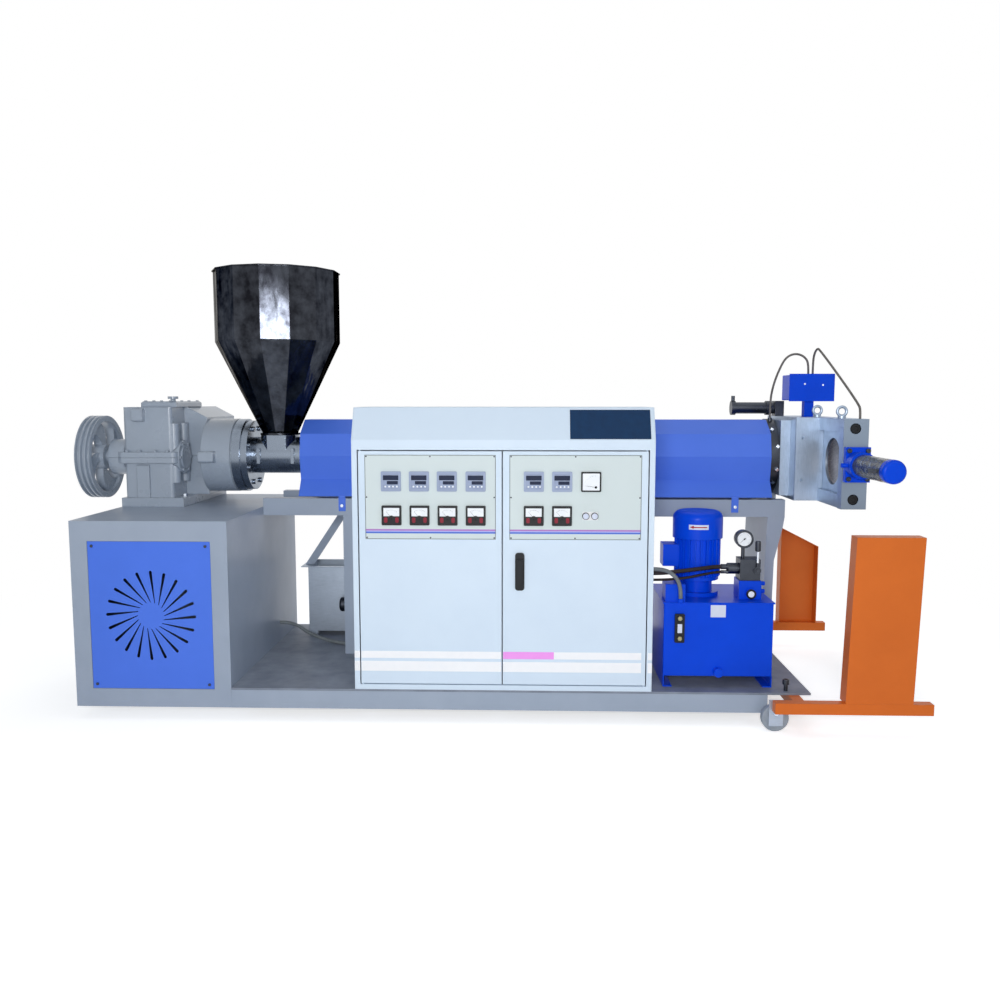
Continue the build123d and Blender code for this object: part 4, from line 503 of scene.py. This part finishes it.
def smooth_line(name, radius=0.0):
    """A curve along a route, as a NURBS line with a round section of this radius."""
    curve = bpy.data.curves.new(name, "CURVE")
    curve.dimensions = "3D"
    curve.resolution_u = 12
    curve.bevel_depth = radius
    curve.bevel_resolution = 5
    curve.use_fill_caps = True
    spline = curve.splines.new("NURBS")
    spline.points.add(len(ROUTES[name]) - 1)
    for point, place in zip(spline.points, ROUTES[name]):
        point.co = (*at(*place), 1)
    spline.order_u = 3
    spline.use_endpoint_u = True
    return put_in(name + "_line", curve)


def line_points(name):
    """Points along a route's smooth line, read from the curve without a section."""
    thin = smooth_line(name)
    bpy.context.view_layer.update()
    shape = bpy.data.meshes.new_from_object(thin.evaluated_get(
        bpy.context.evaluated_depsgraph_get()))
    points = [v.co.copy() for v in shape.vertices]
    bpy.data.objects.remove(thin)
    return points


for name in ROUTES:
    points = line_points(name)

# %% Round leads and hoses
ROUND_CORDS = {
    "upper_hose": (0.008, "hose", "stiff", "hose_black"),
    "lower_hose": (0.005, "hose", "medium", "hose_black"),
    "front_lead": (0.0045, "braid", "medium", "cable_grey"),
    "left_lead": (0.0045, "braid", "medium", "cable_grey"),
}
for name, (radius, finish, stiffness, slot) in ROUND_CORDS.items():
    cord = smooth_line(name, radius)
    cord.data.materials.append(finishes[finish])
    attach(cord, "machine")
    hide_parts(name)

# %% [markdown]
# A corrugated conduit has a ring every few millimetres. Its skin is swept along the line,
# with each ring's frame set square to the line and to the upright, so that it doesn't twist.

# %% Corrugated conduits
def circle(bm, middle, side, top, radius, steps, turn=0.0):
    """A ring of corners round a middle, in the plane of side and top."""
    turns = [2 * math.pi * s / steps + turn for s in range(steps)]
    return [bm.verts.new(middle + radius * (math.cos(t) * side + math.sin(t) * top))
        for t in turns]


def skin(bm, rings):
    """Joins each ring of corners to the next with four sided faces."""
    for first, second in zip(rings, rings[1:]):
        for s in range(len(first)):
            n = (s + 1) % len(first)
            bm.faces.new((first[s], first[n], second[n], second[s]))


def sweep(bm, points, radius_at, steps=16):
    """A closed skin round a line. The radius is asked for at each distance along it."""
    up = Vector((0, 0, 1))
    rings, run = [], 0.0
    for i, point in enumerate(points):
        before, after = points[max(i - 1, 0)], points[min(i + 1, len(points) - 1)]
        ahead = (after - before).normalized()
        side = up.cross(ahead)
        side = side.normalized() if side.length > 0.2 else Vector((1, 0, 0)).cross(ahead)
        top = ahead.cross(side).normalized()
        if i:
            run += (point - points[i - 1]).length
        rings.append(circle(bm, point, side, top, radius_at(run), steps))
    skin(bm, rings)
    bm.faces.new(list(reversed(rings[0])))
    bm.faces.new(rings[-1])


def evenly(points, gap):
    """The same line with points this far apart."""
    made, left = [points[0]], gap
    for a, b in zip(points, points[1:]):
        span = (b - a).length
        while left <= span:
            a = a.lerp(b, left / span)
            span = (b - a).length
            made.append(a)
            left = gap
        left -= span
    made.append(points[-1])
    return made


def piece(name, bm, finish, body="machine", smooth=35):
    """Makes the piece from its mesh, shades it, and rides it on its body."""
    bmesh.ops.recalc_face_normals(bm, faces=bm.faces)
    mesh = bpy.data.meshes.new(name)
    bm.to_mesh(mesh)
    bm.free()
    mesh.shade_smooth()
    mesh.set_sharp_from_angle(angle=math.radians(smooth))
    mesh.materials.append(finishes[finish])
    made = put_in(name, mesh)
    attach(made, body)
    return made


CONDUITS = {"motor_cable": "medium", "pump_conduit": "stiff"}
CONDUIT_RADIUS, RING_PITCH, RING_DEPTH = 0.008, 0.0045, 0.0011
for name, stiffness in CONDUITS.items():
    track = evenly(line_points(name), RING_PITCH / 6)
    bm = bmesh.new()
    sweep(bm, track, lambda run: CONDUIT_RADIUS - RING_DEPTH / 2
        + RING_DEPTH / 2 * math.cos(2 * math.pi * run / RING_PITCH), 14)
    conduit = piece(name + "_line", bm, "cable", smooth=80)
    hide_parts(name)

# %% [markdown]
# Bolts, knobs, dials and ferrules are turned parts: one outline spun round an axis. With six
# steps the same outline gives a hexagon head. Flat parts with round corners, such as labels
# and dial cards, come from one outline that is pushed to its thickness.

# %% Turned and flat parts
def spin(bm, foot, ahead, outline, steps=20, turn=0.0):
    """Spins (radius, height) pairs round the line from foot in the direction ahead."""
    ahead = Vector(ahead).normalized()
    side = ahead.orthogonal().normalized()
    top = ahead.cross(side)
    rings = []
    for radius, height in outline:
        middle = foot + ahead * height
        rings.append(circle(bm, middle, side, top, radius, steps, turn) if radius
            else [bm.verts.new(middle)])
    for first, second in zip(rings, rings[1:]):
        for s in range(steps):
            n = (s + 1) % steps
            # A ring of one corner gives it twice, and the face keeps it once.
            face = list(dict.fromkeys((first[s % len(first)], first[n % len(first)],
                second[n % len(second)], second[s % len(second)])))
            if len(face) > 2:
                bm.faces.new(face)
    for ring, back in ((rings[0], True), (rings[-1], False)):
        if len(ring) > 1:
            bm.faces.new(list(reversed(ring)) if back else ring)


def socket_bolt(radius, height):
    """The outline of a cap screw's head, with its socket."""
    chamfer = radius * 0.12
    return [(radius, 0), (radius, height - chamfer), (radius - chamfer, height),
        (radius * 0.55, height), (radius * 0.5, height * 0.82), (0, height * 0.8)]


def domed_head(radius, height):
    """The outline of a bolt head with a worn crown."""
    return [(radius, 0), (radius, height * 0.75), (radius * 0.86, height), (0, height * 1.05)]


def card(bm, middle, across, upward, width, height, corner, thickness, points=5):
    """A flat plate with round corners, whose back lies at middle."""
    across, upward = Vector(across).normalized(), Vector(upward).normalized()
    out = across.cross(upward)
    rim = []
    for x, z, start in ((1, 1, 0), (-1, 1, 90), (-1, -1, 180), (1, -1, 270)):
        for i in range(points):
            t = math.radians(start + 90 * i / (points - 1))
            rim.append(across * (x * (width / 2 - corner) + corner * math.cos(t))
                + upward * (z * (height / 2 - corner) + corner * math.sin(t)))
    soft = min(0.0006, thickness / 3)
    shrink = 1 - 2 * soft / max(width, height)
    layers = [[middle + p for p in rim], [middle + p + out * (thickness - soft) for p in rim],
        [middle + p * shrink + out * thickness for p in rim]]
    layers = [[bm.verts.new(p) for p in layer] for layer in layers]
    skin(bm, layers)
    bm.faces.new(list(reversed(layers[0])))
    bm.faces.new(layers[-1])


def turned(name, finish, foot, ahead, outline, steps=20):
    """A piece of the machine that is one turned part."""
    bm = bmesh.new()
    spin(bm, foot, ahead, outline, steps)
    return piece(name, bm, finish)


RIGHT, FRONT, UP = Vector((1, 0, 0)), Vector((0, -1, 0)), Vector((0, 0, 1))


def front_card(bm, x, y, z, *sizes):
    """A flat plate that faces the front."""
    card(bm, at(x, y, z), RIGHT, UP, *sizes)


print("a cap screw of 10 mm:", socket_bolt(0.01, 0.01)[:3])

# %% [markdown]
# Two rows of square instruments sit in the doors' panels. The upper row holds temperature
# controllers, a smoked window with two lines of digits and four keys each, and one
# voltmeter. The lower row holds moving coil ammeters, with a white scale above a dark
# cover, and two push buttons. The scales carry plain marks and a needle.

# %% Controllers
face_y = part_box("left_instruments")[0].y - zero.y
LENS_Y = face_y + 0.002
UPPER, LOWER = 0.900, 0.776
OPENING = 0.0535
# The panels' left and right sides, and how far from the left each instrument's middle is.
PANELS = {"left_door": (-0.599, -0.123), "right_door": (-0.074, 0.402)}
CONTROLLERS = {"left_door": (0.096, 0.198, 0.299, 0.403), "right_door": (0.088, 0.190)}
AMMETERS = {"left_door": (0.097, 0.199, 0.301, 0.403), "right_door": (0.088, 0.190)}
VOLTMETER = 0.294
for body, places in CONTROLLERS.items():
    shell, windows, keys = bmesh.new(), bmesh.new(), bmesh.new()
    for x in (PANELS[body][0] + place for place in places):
        front_card(shell, x, LENS_Y, UPPER, OPENING, OPENING, 0.002, 0.0022)
        front_card(windows, x, LENS_Y - 0.0022, UPPER + 0.0135, 0.056, 0.0175, 0.002, 0.0006)
        front_card(windows, x + 0.006, LENS_Y - 0.0022, UPPER - 0.0045, 0.040, 0.0125, 0.002,
            0.0006)
        for k in range(4):
            spin(keys, at(x - 0.0195 + 0.014 * k, LENS_Y - 0.0022, UPPER - 0.0185), FRONT,
                [(0.0034, 0), (0.0031, 0.0009), (0, 0.0012)], 14)
    piece(body + "_controllers", shell, "controller", body)
    piece(body + "_displays", windows, "display", body)
    piece(body + "_keys", keys, "white_face", body)
    print(body, "controllers", len(places))

# %% Ammeters and the voltmeter
def scale_marks(bm, x, z, y, radius, low, high, count, length, thin):
    """Short marks round a centre, between two angles, ninety being straight up."""
    for i in range(count):
        t = math.radians(low + (high - low) * i / (count - 1))
        out = Vector((math.cos(t), 0, math.sin(t)))
        along = Vector((-out.z, 0, out.x))
        long = length * (1.6 if i % 5 == 0 else 1)
        card(bm, at(x, y, z) + out * (radius - long / 2), along, out, thin, long, thin / 4, 0.0002,
            2)


def needle(bm, x, z, y, angle, reach, tail, thick):
    """A slim pointer from its hub to the scale."""
    t = math.radians(angle)
    out = Vector((math.cos(t), 0, math.sin(t)))
    along = Vector((-out.z, 0, out.x))
    centre, front = at(x, y, z), FRONT * 0.0005
    points = [centre - out * tail + along * thick, centre - out * tail - along * thick,
        centre + out * reach - along * thick * 0.2, centre + out * reach + along * thick * 0.2]
    low = [bm.verts.new(p) for p in points]
    high = [bm.verts.new(p + front) for p in points]
    bm.faces.new(low)
    bm.faces.new(high)
    skin(bm, [low, high])


for body, places in AMMETERS.items():
    cards, covers, ink, knobs = bmesh.new(), bmesh.new(), bmesh.new(), bmesh.new()
    for x in (PANELS[body][0] + place for place in places):
        front_card(cards, x, LENS_Y, LOWER + 0.0125, 0.058, 0.0305, 0.001, 0.0024)
        front_card(covers, x, LENS_Y, LOWER - 0.0165, 0.058, 0.0245, 0.002, 0.0034)
        spin(covers, at(x, LENS_Y, LOWER - 0.009), FRONT, [(0.0095, 0), (0.009, 0.0036),
            (0, 0.004)], 24)
        spin(ink, at(x, LENS_Y - 0.004, LOWER - 0.012), FRONT,
            [(0.0035, 0), (0.003, 0.0012), (0, 0.0014)], 16)
        scale_marks(ink, x, LOWER - 0.009, LENS_Y - 0.0024, 0.031, 50, 130, 21, 0.0022, 0.0005)
        needle(ink, x, LOWER - 0.009, LENS_Y - 0.0027, 128, 0.029, 0.0, 0.0006)
        for side in (-0.0205, 0.0205):
            front_card(knobs, x + side, LENS_Y - 0.0034, LOWER - 0.0165, 0.0125, 0.0195, 0.0045,
                0.0012)
    piece(body + "_scales", cards, "white_face", body)
    piece(body + "_meter_covers", covers, "black_plastic", body)
    piece(body + "_meter_knobs", knobs, "red_cap", body)
    if body == "right_door":
        x = PANELS[body][0] + VOLTMETER
        card_back = bmesh.new()
        front_card(card_back, x, LENS_Y, UPPER, OPENING, OPENING, 0.001, 0.0022)
        front_card(card_back, x, LENS_Y - 0.0022, UPPER, 0.061, 0.061, 0.002, 0.0008)
        piece("voltmeter_card", card_back, "white_face", body)
        scale_marks(ink, x + 0.017, UPPER - 0.0195, LENS_Y - 0.003, 0.044, 92, 178, 21, 0.003,
            0.0005)
        needle(ink, x + 0.017, UPPER - 0.0195, LENS_Y - 0.0033, 172, 0.04, 0.002, 0.0007)
        spin(ink, at(x + 0.017, LENS_Y - 0.003, UPPER - 0.0195), FRONT,
            [(0.0046, 0), (0.004, 0.0014), (0, 0.0016)], 20)
    piece(body + "_scale_marks", ink, "ink", body)
    print(body, "ammeters", len(places))

# %% Push buttons, panel screws and the name plate
bm = bmesh.new()
front_card(bm, 0.218, face_y + 0.009, LOWER, 0.056, 0.031, 0.003, 0.003)
piece("button_plate", bm, "white_band", "right_door")
bm = bmesh.new()
for x in (0.202, 0.234):
    spin(bm, at(x, face_y - 0.003, LOWER), FRONT, [(0.0108, 0), (0.0108, 0.0012), (0.0095, 0.002),
        (0, 0.0015)], 28)
piece("push_buttons", bm, "label", "right_door")
PANEL_MIDDLE, SCREW_INSET = 0.842, 0.006
for body, (left, right) in PANELS.items():
    middle = (left + right) / 2
    bm = bmesh.new()
    for x in (left + SCREW_INSET, middle, right - SCREW_INSET):
        for z in (0.694, PANEL_MIDDLE, 0.990):
            if (x, z) != (middle, PANEL_MIDDLE):
                spin(bm, at(x, -0.003, z), FRONT, domed_head(0.0028, 0.0014), 14)
    piece(body + "_panel_screws", bm, "blackened", body)
    bm = bmesh.new()
    for z in (0.6895, 0.9945):
        front_card(bm, middle, -0.0027, z, right - left - 0.001, 0.0022, 0.0005, 0.0008, 2)
    for x in (left + 0.0015, right - 0.0015):
        front_card(bm, x, -0.0027, PANEL_MIDDLE, 0.0022, 0.3028, 0.0005, 0.0008, 2)
    piece(body + "_panel_trim", bm, "cable", body)
KNEE, SLOPE_DEPTH, SLOPE_HEIGHT = 1.050, 0.058, 0.116
slope = Vector((0, SLOPE_DEPTH, SLOPE_HEIGHT)).normalized()
PLATE_X, PLATE_RISE, PLATE_WIDTH, PLATE_HEIGHT, PLATE_THICK = 0.289, 0.061, 0.290, 0.116, 0.0012
bm = bmesh.new()
card(bm, at(PLATE_X, 0, KNEE) + slope * PLATE_RISE + RIGHT.cross(slope) * PLATE_THICK, RIGHT,
    slope, PLATE_WIDTH, PLATE_HEIGHT, 0.001, PLATE_THICK)
piece("blank_name_plate", bm, "navy_plate")
print("name plate", PLATE_WIDTH, "by", PLATE_HEIGHT, "m, left blank")

# %% [markdown]
# The solid hood carries a raised plate at another place than the photograph's. The dressed
# hood is a copy of it whose plate is pressed flush with the slope, so only the navy plate
# shows.

# %% Hood with a flush slope
def stand_in(name, solid, wanted, shift):
    """A copy of a solid, with some of its corners shifted, that is seen in its place."""
    mesh = nodes[solid].data.copy()
    corners = [v for v in mesh.vertices if wanted(v.co)]
    for corner in corners:
        corner.co += shift(corner.co)
    made = put_in(name, mesh)
    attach(made, "machine")
    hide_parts(solid)
    print(name, "corners shifted", len(corners))


def proud(place):
    """How far a place stands out from the hood's slope."""
    return (place - at(0, 0, KNEE)).dot(RIGHT.cross(slope))


RAISED_LEAST, RAISED_MOST = 0.0003, 0.003
stand_in("plain_hood", "cabinet_hood",
    lambda p: p.z > KNEE and RAISED_LEAST < proud(p) < RAISED_MOST,
    lambda p: -RIGHT.cross(slope) * proud(p))

# %% [markdown]
# Two white bands run across the cabinet near its foot, the upper one with a pink length.
# They are vinyl strips, so they are cut at the doors' gap and ride on each door. A short
# length is stuck on each side border. The right one leaves room for the edge of the door,
# which turns in when the door opens.

# %% Vinyl bands
BANDS = {"lower": (0.194, 0.2320), "upper": (0.243, 0.2698)}
DOORS = {"left_door": (-0.6215, -0.1035), "right_door": (-0.0965, 0.4105)}
BORDERS = ((-0.647, -0.6265), (0.434, 0.450))
PINK_END = 0.09
BAND_BACK, BAND_THICK, BAND_CORNER = 0.0003, 0.0007, 0.0005


def band(bm, left, right, name):
    """One length of a band, between two places along the cabinet."""
    low, high = BANDS[name]
    front_card(bm, (left + right) / 2, BAND_BACK, (low + high) / 2, right - left, high - low,
        BAND_CORNER, BAND_THICK, 2)


for body, (left, right) in DOORS.items():
    bm = bmesh.new()
    band(bm, left, right, "lower")
    band(bm, PINK_END if body == "right_door" else left, right, "upper")
    piece(body + "_bands", bm, "white_band", body)
bm = bmesh.new()
for left, right in BORDERS:
    for name in BANDS:
        band(bm, left, right, name)
piece("side_bands", bm, "white_band")
bm = bmesh.new()
band(bm, DOORS["right_door"][0], PINK_END, "upper")
piece("pink_band", bm, "pink_band", "right_door")
print("bands on", list(DOORS), "and on both side borders")

# %% [markdown]
# The power pack's small parts: the pressure gauge's dial, the sight glass, the level gauge's
# bolts and window, blank labels, and the arrow that shows which way the motor turns.

# %% Pressure gauge dial
def face_of(node, axis, high=False):
    """The middle of a solid's outermost face along one axis, and that face's place."""
    corners = [v.co for v in nodes[node].data.vertices]
    most = (max if high else min)(c[axis] for c in corners)
    flat = [c for c in corners if abs(c[axis] - most) < 0.0002]
    low = Vector([min(c[i] for c in flat) for i in range(3)])
    top = Vector([max(c[i] for c in flat) for i in range(3)])
    return (low + top) / 2 - zero


dial = face_of("pressure_gauge", 1)
turned("gauge_card", "white_face", at(dial.x, dial.y + 0.0022, dial.z), FRONT,
    [(0.0262, 0), (0.0262, 0.0006), (0, 0.0006)], 40)
bm = bmesh.new()
scale_marks(bm, dial.x, dial.z, dial.y + 0.0016, 0.0235, -45, 225, 31, 0.0026, 0.0005)
needle(bm, dial.x, dial.z, dial.y + 0.0012, 222, 0.019, 0.007, 0.0009)
spin(bm, at(dial.x, dial.y + 0.0014, dial.z), FRONT, [(0.003, 0), (0.0026, 0.001), (0, 0.0011)],
    16)
piece("gauge_marks", bm, "ink")
turned("gauge_rim", "blackened", at(dial.x, dial.y + 0.004, dial.z), FRONT,
    [(0.0335, 0), (0.0345, 0.0025), (0.0335, 0.005), (0.0285, 0.0052), (0.0268, 0.002),
    (0.0268, 0.0)], 44)
print("dial at", [round(v, 3) for v in dial])

# %% Sight glass, level gauge and labels
sight = face_of("valve_manifold", 1)
turned("sight_glass_rim", "black_plastic", at(sight.x, sight.y + 0.001, sight.z),
    FRONT, [(0.0185, 0), (0.0185, 0.004), (0.0165, 0.006), (0.0125, 0.006), (0.012, 0.003),
    (0.012, 0.0)], 32)
turned("sight_glass", "white_face", at(sight.x, sight.y, sight.z), FRONT,
    [(0.012, 0), (0.0115, 0.0035), (0, 0.0045)], 28)
level = face_of("level_gauge", 1)
LEVEL_BOLTS = 0.038
bm = bmesh.new()
for side in (-LEVEL_BOLTS, LEVEL_BOLTS):
    spin(bm, at(level.x, level.y + 0.001, level.z + side), FRONT, domed_head(0.0095, 0.006), 6)
piece("level_gauge_bolts", bm, "brass")
bm = bmesh.new()
front_card(bm, level.x, level.y + 0.0004, level.z, 0.017, 0.034, 0.002, 0.0016)
front_card(bm, 0.7005, 0.0662, 0.413, 0.056, 0.046, 0.001, 0.0006)
piece("level_window_and_label", bm, "label")
COWL_X, COWL_Y, COWL_R = 0.649, 0.240, 0.0955


def curved_card(bm, low, high, start, end, radius, thickness, steps=14):
    """A strip bent round the motor's cowl, between two heights and two angles."""
    rows = []
    for i in range(steps + 1):
        t = math.radians(start + (end - start) * i / steps)
        out = Vector((math.sin(t), -math.cos(t), 0))
        rows.append([bm.verts.new(at(COWL_X, COWL_Y, z) + out * r) for z in (low, high)
            for r in (radius, radius + thickness)])
    for a, b in zip(rows, rows[1:]):
        for i, j in ((0, 1), (1, 3), (3, 2), (2, 0)):
            bm.faces.new((a[i], b[i], b[j], a[j]))
    for end_row in (rows[0], rows[-1]):
        bm.faces.new([end_row[i] for i in (0, 1, 3, 2)])


bm = bmesh.new()
curved_card(bm, 0.706, 0.7245, -30, 15, COWL_R, 0.0005)
piece("motor_label", bm, "label")
bm = bmesh.new()
curved_card(bm, 0.7131, 0.7172, -20, 11, COWL_R + 0.0005, 0.0003)
for k in range(5):
    half = 0.0012 + 0.0011 * k
    curved_card(bm, 0.71515 - half, 0.71515 + half, -27 + 1.6 * k, -25.2 + 1.6 * k,
        COWL_R + 0.0005, 0.0003, 2)
piece("motor_turning_arrow", bm, "red_ink")
print("sight glass and level gauge done")

# %% [markdown]
# Bolts go on in groups, one piece for each body and finish. Each group is a list of places,
# the direction that the heads point in, and their size.

# %% Bolt groups
AXIS_Y, AXIS_Z = 0.670, 0.955
cylinder = face_of("slide_cylinder", 1)
seats = [v.co.x - zero.x for v in nodes["slide_frame"].data.vertices
    if 0.140 < v.co.y - zero.y < 0.160 and abs(abs(v.co.z - AXIS_Z) - 0.132) < 0.025]
recess_x = (min(seats) + max(seats)) / 2
print("recess", round(min(seats), 4), round(max(seats), 4))
BOLTS = {
    "panel_corner_bolts": ("blackened", "dark_steel", (0, -1, 0), 0.006, 0.004, 6,
        [(x, -0.0005, z) for x in (-1.617, -1.193) for z in (0.135, 0.657)]),
    "cover_tab_bolts": ("zinc", "ground_steel", (0, -1, 0), 0.008, 0.006, 6,
        [(-0.962 + p + 0.0145, AXIS_Y - 0.1915, AXIS_Z - 0.2) for p in (0.167, 1.790)]),
    "end_block_screws": ("black_plastic", "black_plastic", (0, -1, 0), 0.0182, 0.0155,
        28, [(recess_x, 0.1488, AXIS_Z + z) for z in (-0.132, 0.132)]),
    "split_flange_bolts": ("cast_enamel", "cast_grey", (0, 0, 1), 0.0085, 0.009, 6,
        [(x, 0.4535, 0.9775) for x in (-1.667, -1.615, -1.550, -1.498)]),
    "gearbox_foot_bolts": ("zinc", "ground_steel", (0, 0, 1), 0.011, 0.013, 6,
        [(-1.452, y, 0.7875) for y in (0.520, 0.720, 0.920)]),
    "cylinder_flange_bolts": ("blackened", "dark_steel", (0, -1, 0), 0.009, 0.010, 16,
        [(cylinder.x + x, 0.1085, AXIS_Z + z) for x in (-0.034, 0.034) for z in (-0.052, 0.052)]),
    "junction_screws": ("zinc", "ground_steel", (0, -1, 0), 0.004, 0.002, 14,
        [(x, 0.5565, z) for x, z in ((1.132, 1.258), (1.206, 1.254))]),
    "inspection_bolts": ("cast_enamel", "cast_grey", (0, 0, 1), 0.007, 0.004, 6,
        [(-1.610 + x, 0.479 + y, 1.1865) for x in (0.014, 0.134)
        for y in (0.016, 0.100, 0.184, 0.284)]),
}
for name, (finish, slot, ahead, radius, height, steps, places) in BOLTS.items():
    bm = bmesh.new()
    outline = socket_bolt(radius, height) if steps > 8 else domed_head(radius, height)
    for place in places:
        spin(bm, at(*place), ahead, outline, steps, math.radians(15))
    piece(name, bm, finish)
    print(name, len(places))

# %% Square headed bolts round the end flange
bm = bmesh.new()
FLANGE_RADIUS = 0.1555
for x, rise in ((1.004, 0.1106), (1.019, 0.045), (1.019, -0.046), (1.010, -0.100)):
    out = Vector((0, -math.sqrt(FLANGE_RADIUS ** 2 - rise ** 2), rise))
    spin(bm, at(x, AXIS_Y, AXIS_Z) + out, out, [(0.010, 0), (0.010, 0.008), (0.0085, 0.010),
        (0, 0.0105)], 4, math.radians(45))
piece("flange_square_bolts", bm, "zinc")
print("square bolts", 4)

# %% Axle bolts, the manifold's red cap and the hose's yellow collar
bm = bmesh.new()
for far, ahead in ((False, FRONT), (True, -FRONT)):
    spin(bm, at(*face_of("caster_brackets", 1, far)) - ahead * 0.002, ahead,
        domed_head(0.011, 0.008), 6)
piece("axle_bolts", bm, "zinc")
turned("red_port_cap", "red_cap", at(0.8715, 0.171, 0.481), RIGHT,
    [(0.010, 0), (0.010, 0.006), (0.0085, 0.008), (0, 0.008)], 20)
finishes["yellow"] = plastic("yellow_nylon_collar", "D8B43C", "B8952A", 0.45)
turned("yellow_hose_collar", "yellow", at(0.558, 0.1165, 0.5248), (-1, -0.1, -0.08),
    [(0.0058, 0), (0.0072, 0.0012), (0.0072, 0.011), (0.0058, 0.012)], 20)
print("axle bolts 2")

# %% The bolt that stands on the platform's overhang
turned("platform_bolt", "blackened", at(0.948, 0.030, 0.124), UP,
    [(0.0075, 0), (0.0075, 0.024), (0.0125, 0.0245), (0.0125, 0.041), (0.011, 0.043),
    (0.0065, 0.043), (0.006, 0.033), (0, 0.032)], 24)
print("platform bolt 43 mm high")

# %% [markdown]
# The slide plate holds two screen packs. While one filters the melt, the other can be
# changed. The screen is woven wire in front of a perforated plate, brown from burnt melt.
# Its weave is drawn 5 mm wide, coarser than real, so that it shows.

# %% Screens in the slide plate
weave = metal("woven_wire_screen", "9C8F88", "6B5E58", 0.35)
tree = weave.node_tree
spot = add(tree, "ShaderNodeTexCoord").outputs["Object"]
cells = add(tree, "ShaderNodeTexVoronoi", {"Vector": spot, "Scale": per_mm(5.0),
    "Randomness": 0.15})
dark = ramp(tree, cells.outputs["Distance"], 0.25, 0.5, 1, 0)
shader = tree.nodes["Principled BSDF"]
before = shader.inputs["Base Color"].links[0].from_socket
holes = add(tree, "ShaderNodeMix", {0: dark, 6: before, 7: linear("2A2321")},
    data_type="RGBA")
tree.links.new(holes.outputs[2], shader.inputs["Base Color"])
finishes["screen"] = weave
SCREEN_X, SCREEN_R = 1.1968, 0.0903
bm = bmesh.new()
for y in (AXIS_Y, AXIS_Y - 0.350):
    spin(bm, at(SCREEN_X, y, AXIS_Z), (-1, 0, 0), [(SCREEN_R, 0), (SCREEN_R, 0.0055),
        (SCREEN_R - 0.004, 0.007), (SCREEN_R - 0.01, 0.003), (0, 0.0012)], 56)
piece("screen_packs", bm, "screen", "slide")
print("screens 2")

# %% [markdown]
# The solid slide frame is 30 mm wider than the photograph's and hides the front screen. The
# dressed one is a copy whose left side is moved in by that much. Everything else on it, the
# eye bolt and the screw seats too, stays where the solid has it.

# %% Narrower slide frame
NARROWER, LEFT_SIDE = 0.030, 1.136
stand_in("narrow_slide_frame", "slide_frame", lambda p: p.x - zero.x < LEFT_SIDE,
    lambda p: RIGHT * NARROWER)

# %% [markdown]
# Each hydraulic hose ends in a crimped ferrule. The film round the slide cylinder is thin
# plastic wrap: a loose skin over the tube with folds that run round it.

# %% Hose ferrules and the cylinder's film
bm = bmesh.new()
for y, z, radius in ((0.160, 0.564, 0.008), (0.160, 0.544, 0.005)):
    spin(bm, at(0.7525, y, z), (-1, 0, 0), [(radius * 1.5, 0), (radius * 1.5, 0.006),
        (radius * 1.25, 0.008), (radius * 1.25, 0.024), (radius * 1.35, 0.026),
        (radius * 1.1, 0.028)], 20)
piece("hose_ferrules", bm, "blackened")

FILM_START, FILM_END, FILM_RADIUS = 0.052, -0.212, 0.0395
FILM_SLACK, FOLD_DEPTH = 0.0012, 0.0009
bm = bmesh.new()
rings, around, along = [], 72, 88
for i in range(along + 1):
    y = FILM_START + (FILM_END - FILM_START) * i / along
    ring = []
    for s in range(around):
        t = 2 * math.pi * s / around
        fold = (math.sin(2 * t + 11 * i / along) * math.sin(9 * i / along + t)
            + 0.35 * math.sin(5 * t - 37 * i / along))
        r = FILM_RADIUS + FILM_SLACK + FOLD_DEPTH * fold
        ring.append(bm.verts.new(at(cylinder.x + r * math.cos(t), y, AXIS_Z + r * math.sin(t))))
    rings.append(ring)
skin(bm, rings)
film = piece("cylinder_film", bm, "film", smooth=60)
print("film", len(film.data.polygons), "faces")

# %% [markdown]
